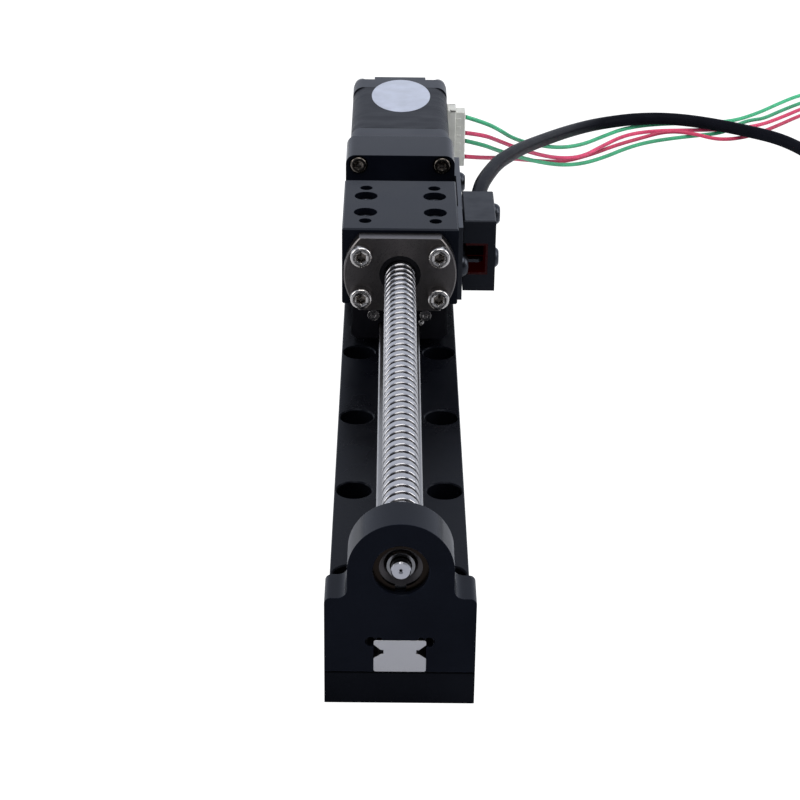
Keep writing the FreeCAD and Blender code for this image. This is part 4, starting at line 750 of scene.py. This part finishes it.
CABLE_ROUTE = [
    (21.2, 80.8, 36.6), (22.1, 90.6, 36.2), (25.0, 106.4, 34.2), (28.6, 124.0, 31.2),
    (32.3, 137.1, 28.6), (36.9, 154.6, 24.6), (46.3, 186.5, 16.4), (56.1, 215.3, 9.2),
    (65.4, 234.4, 4.9), (73.6, 242.0, 3.8), (82.8, 245.6, 3.8), (92.0, 246.4, 3.8),
    (99.8, 244.9, 3.8), (107.0, 241.9, 3.8), (114.2, 237.9, 3.8), (121.2, 233.2, 3.8),
    (129.4, 228.2, 3.4), (135.6, 221.6, 2.6), (139.4, 213.5, 2.2)]
CABLE_TAIL = [(178.8, 191.1, 2.2), (187.0, 191.7, 2.2), (195.0, 192.7, 2.2)]
WIRE_ROUTES = {
    "green_wire_top": [
        (19.8, 146.4, 37.45), (25.6, 149.2, 34.8), (30.4, 157.6, 29.8), (35.6, 170.6, 22.4),
        (43.0, 189.9, 13.8), (52.5, 202.8, 7.9), (62.1, 219.5, 3.2), (71.2, 236.0, 0.75),
        (78.8, 244.1, 0.75), (89.4, 249.0, 0.75), (104.4, 250.6, 0.75), (117.6, 252.6, 0.75),
        (128.4, 262.2, 0.75), (138.2, 274.0, 0.75), (147.1, 283.5, 0.75), (158.5, 290.8, 0.75),
        (171.5, 293.0, 0.75), (185.0, 290.0, 0.75), (193.6, 282.0, 0.75), (196.7, 272.2, 1.3),
        (196.8, 263.3, 2.6)],
    "red_wire_top": [
        (19.8, 146.4, 32.45), (25.4, 150.6, 30.4), (30.3, 161.9, 24.8), (36.4, 172.6, 18.8),
        (44.4, 188.7, 10.8), (52.8, 198.9, 5.7), (61.0, 205.3, 4.0), (69.4, 220.8, 2.6),
        (78.6, 237.2, 0.75), (88.4, 241.8, 0.75), (101.4, 243.0, 0.75), (114.9, 244.0, 0.75),
        (126.8, 248.6, 0.75), (137.0, 258.8, 0.75), (147.0, 270.0, 0.75), (158.5, 278.6, 0.75),
        (170.5, 281.0, 0.75), (180.9, 278.4, 0.75), (187.4, 271.4, 1.3), (189.6, 263.3, 2.6)],
    "green_wire_low": [
        (19.8, 146.4, 29.95), (25.2, 150.4, 27.4), (29.8, 159.4, 22.6), (36.4, 173.6, 15.6),
        (44.6, 186.6, 9.0), (53.2, 196.6, 4.2), (61.2, 205.6, 1.5), (69.4, 214.4, 0.75),
        (77.4, 223.4, 0.75), (84.8, 229.6, 0.75), (93.8, 234.0, 0.75), (104.2, 237.6, 0.75),
        (113.2, 240.8, 0.75), (118.6, 244.8, 2.45), (123.6, 249.6, 2.4), (129.4, 256.2, 0.75),
        (136.4, 264.4, 0.75), (145.6, 274.2, 0.75), (157.0, 283.8, 0.75), (171.0, 287.0, 0.75),
        (183.0, 284.4, 0.75), (190.6, 277.2, 0.75), (193.1, 270.0, 1.5), (193.2, 263.3, 2.6)],
    "red_wire_low": [
        (19.8, 146.4, 24.95), (25.0, 151.4, 22.8), (31.0, 164.4, 18.2), (38.6, 180.4, 12.0),
        (46.6, 194.0, 6.4), (55.4, 206.6, 1.8), (65.0, 216.8, 0.75), (74.6, 226.8, 0.75),
        (84.0, 234.4, 0.75), (92.8, 237.2, 2.3), (101.4, 235.6, 2.3), (110.6, 232.6, 0.75),
        (121.6, 236.8, 0.75), (132.4, 247.8, 0.75), (144.4, 261.6, 0.75), (156.0, 271.6, 0.75),
        (168.0, 275.2, 0.75), (178.2, 273.2, 0.75), (184.2, 269.2, 1.5), (186.0, 263.3, 2.6)],
}
WIRE_LOOKS = {"green_wire_top": "wire_green", "red_wire_top": "wire_red",
              "green_wire_low": "wire_green_dark", "red_wire_low": "wire_red_dark"}
COIL_CENTRE = Vector((170.5, 222.0, 0))
CABLE_DIA = 4.2
WIRE_DIA = 1.3

# The coil has five passes. A lane is (radius, height), and lanes change only where the coil faces
# the actuator, at the angles given with each crossing.
COIL_LANES = [(27.3, 2.15), (23.0, 2.15), (18.7, 2.15), (20.75, 5.85), (25.25, 5.85)]
COIL_ENTRY = [(-150, 30.9, 2.2), (-135, 29.2, 2.2), (-120, 28.1, 2.2), (-105, 27.4, 2.2)]
COIL_CROSSINGS = [
    [(-175, 27.3, 2.15), (-157, 26.0, 2.15), (-140, 24.2, 2.15), (-122, 23.0, 2.15),
     (-104, 23.0, 2.15)],
    [(-175, 23.0, 2.15), (-157, 21.7, 2.15), (-140, 19.9, 2.15), (-122, 18.7, 2.15),
     (-104, 18.7, 2.15)],
    [(-178, 18.5, 2.3), (-165, 17.7, 3.2), (-152, 17.2, 4.5), (-139, 17.3, 5.8),
     (-126, 18.3, 6.45), (-112, 19.8, 6.4), (-98, 20.7, 5.9)],
    [(-175, 20.9, 6.1), (-157, 22.1, 6.55), (-140, 23.9, 6.6), (-122, 25.3, 6.1),
     (-104, 25.35, 5.85)],
    [(-185, 25.3, 6.2), (-170, 26.3, 6.55), (-155, 28.0, 6.5), (-140, 29.3, 6.5),
     (-125, 29.8, 6.5), (-111, 30.0, 6.2), (-98, 30.6, 5.1), (-86, 31.6, 3.3)]]


def coil_points():
    """The cable's way in, five passes round, and out to its tail, 20 degrees between points."""
    steps = list(COIL_ENTRY)
    for (radius, high), crossing in zip(COIL_LANES, COIL_CROSSINGS):
        steps += [(angle, radius, high) for angle in range(-85, 160, 20)] + crossing
    return [(COIL_CENTRE.x + radius * math.cos(math.radians(angle)),
             COIL_CENTRE.y + radius * math.sin(math.radians(angle)), high)
            for angle, radius, high in steps]


def coil_tie(angle):
    """A flat strap drawn tight round the coil's section, which has three passes under two."""
    inner = [(16.5, 0.05), (29.5, 0.05), (29.6, 2.8), (27.4, 7.1), (26.2, 8.0), (19.8, 8.0),
             (18.6, 7.1), (16.4, 2.8)]
    outer = [(16.1, 0.0), (29.9, 0.0), (30.05, 2.9), (27.75, 7.4), (26.4, 8.4), (19.6, 8.4),
             (18.25, 7.4), (15.95, 2.9)]
    wide = 4.6
    outward = Vector((math.cos(angle), math.sin(angle), 0))
    beside = Vector((-math.sin(angle), math.cos(angle), 0))
    size = len(inner)
    corners = []
    for side in (-wide / 2, wide / 2):
        for loop in (inner, outer):
            corners += [COIL_CENTRE + outward * reach + beside * side + Vector((0, 0, high))
                        for reach, high in loop]
    faces = []
    for step in range(size):
        after = (step + 1) % size
        for first, second in ((0, 2), (1, 3), (0, 1), (2, 3)):
            faces.append((first * size + step, first * size + after, second * size + after,
                          second * size + step))
    return corners, faces


def spline_curve(name, points, diameter, slot):
    """A round lead on one smooth spline that has the route's points as its controls."""
    curve = bpy.data.curves.new(name, "CURVE")
    curve.dimensions = "3D"
    spline = curve.splines.new("NURBS")
    spline.points.add(len(points) - 1)
    for point, place in zip(spline.points, points):
        point.co = (place[0] * MM, place[1] * MM, place[2] * MM, 1)
    spline.order_u = 3
    spline.use_endpoint_u = True
    spline.resolution_u = 10
    curve.bevel_depth = diameter * MM / 2
    curve.bevel_resolution = 5
    curve.use_fill_caps = True
    curve.materials.append(LOOKS[slot])
    thing = bpy.data.objects.new(name, curve)
    scene.collection.objects.link(thing)
    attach(thing, "base")
    return thing


for wire, route in WIRE_ROUTES.items():
    lead = spline_curve(wire + "_lead", route, WIRE_DIA, WIRE_LOOKS[wire])
    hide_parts(wire)

cable = spline_curve("sensor_lead", CABLE_ROUTE + coil_points() + CABLE_TAIL, CABLE_DIA,
                     "cable_black")
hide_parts("sensor_cable", "sensor_cable_coil", "sensor_cable_tail")
piece("coil_tie", gathered("coil_tie", [
    coil_tie(math.radians(60)),
    block((COIL_CENTRE.x + 10.2, COIL_CENTRE.y + 18.6, 7.9),
          (COIL_CENTRE.x + 13.4, COIL_CENTRE.y + 21.8, 8.6), 0.15)]), "sensor_black", "base")


# Floor, light and background

def pale_floor():
    """White to the camera. Mirrored in metal, it is dim on the near side of the actuator."""
    bpy.ops.mesh.primitive_plane_add(size=6, location=(0, 0, 0))
    floor = bpy.context.object
    floor.name = "Floor"
    material = bpy.data.materials.new("floor_white")
    material.use_nodes = True
    wiring = Wiring(material.node_tree)
    path = wiring.add("ShaderNodeLightPath", {})
    near = wiring.spread(wiring.along(AXES["Y"]), 1.0, 0.0, -0.1, 0.1)
    dim = wiring.calc("MULTIPLY", path["Is Glossy Ray"], near)
    shader = material.node_tree.nodes["Principled BSDF"]
    wiring.feed(shader.inputs["Roughness"], 0.8)
    wiring.feed(shader.inputs["IOR"], 1.2)
    wiring.feed(shader.inputs["Base Color"],
                wiring.blend(dim, (0.84, 0.86, 0.9), (0.26, 0.27, 0.30)))
    glow = wiring.add("ShaderNodeEmission", {"Strength": 1.2})
    share = wiring.calc("MULTIPLY", path["Is Camera Ray"], 0.9)
    mix = wiring.add("ShaderNodeMixShader", {0: share, 1: shader.outputs[0], 2: glow[0]})
    wiring.feed(material.node_tree.nodes["Material Output"].inputs["Surface"], mix[0])
    floor.data.materials.append(material)


def studio():
    """A white background. Mirrored in metal, it is bright beyond the actuator and dim before."""
    world = bpy.data.worlds.new("Studio")
    scene.world = world
    world.use_nodes = True
    wiring = Wiring(world.node_tree)
    path = wiring.add("ShaderNodeLightPath", {})
    around = wiring.add("ShaderNodeTexCoord", {})["Generated"]
    bright = wiring.spread(wiring.dot(around, AXES["Y"]), 0.12, 1.0, -0.5, 0.5)
    mirrored = wiring.blend(bright, (0, 0, 0), COOL)
    colour = wiring.blend(path["Is Glossy Ray"], (1, 1, 1), mirrored)
    white = wiring.add("ShaderNodeBackground", {"Color": colour, "Strength": 1.0})
    ambient = world.node_tree.nodes["Background"]
    wiring.feed(ambient.inputs["Color"], (0.93, 0.95, 1.0))
    wiring.feed(ambient.inputs["Strength"], 0.55)
    seen = wiring.calc("MAXIMUM", path["Is Camera Ray"], path["Is Glossy Ray"])
    clear = wiring.calc("MAXIMUM", seen, path["Is Transmission Ray"])
    mix = wiring.add("ShaderNodeMixShader", {0: clear, 1: ambient.outputs[0], 2: white[0]})
    wiring.feed(world.node_tree.nodes["World Output"].inputs["Surface"], mix[0])


def lamps():
    """Three soft boxes that look at the middle of the actuator."""
    middle = Vector((0, 0, 0.03))
    for name, place, size, power in (
            ("Overhead", (0.1, -0.25, 1.3), (1.1, 0.8), 9.0),
            ("Left", (-1.2, -0.1, 0.6), (0.7, 0.7), 5.0),
            ("Right", (1.2, 0.0, 0.7), (0.7, 0.8), 6.0)):
        lamp = bpy.data.lights.new(name, "AREA")
        lamp.shape = "RECTANGLE"
        lamp.size, lamp.size_y = size
        lamp.energy = power
        thing = bpy.data.objects.new(name, lamp)
        thing.location = place
        aim = middle - Vector(place)
        thing.rotation_euler = aim.to_track_quat("-Z", "Y").to_euler()
        scene.collection.objects.link(thing)


pale_floor()
studio()
lamps()
scene.view_settings.view_transform = "Standard"
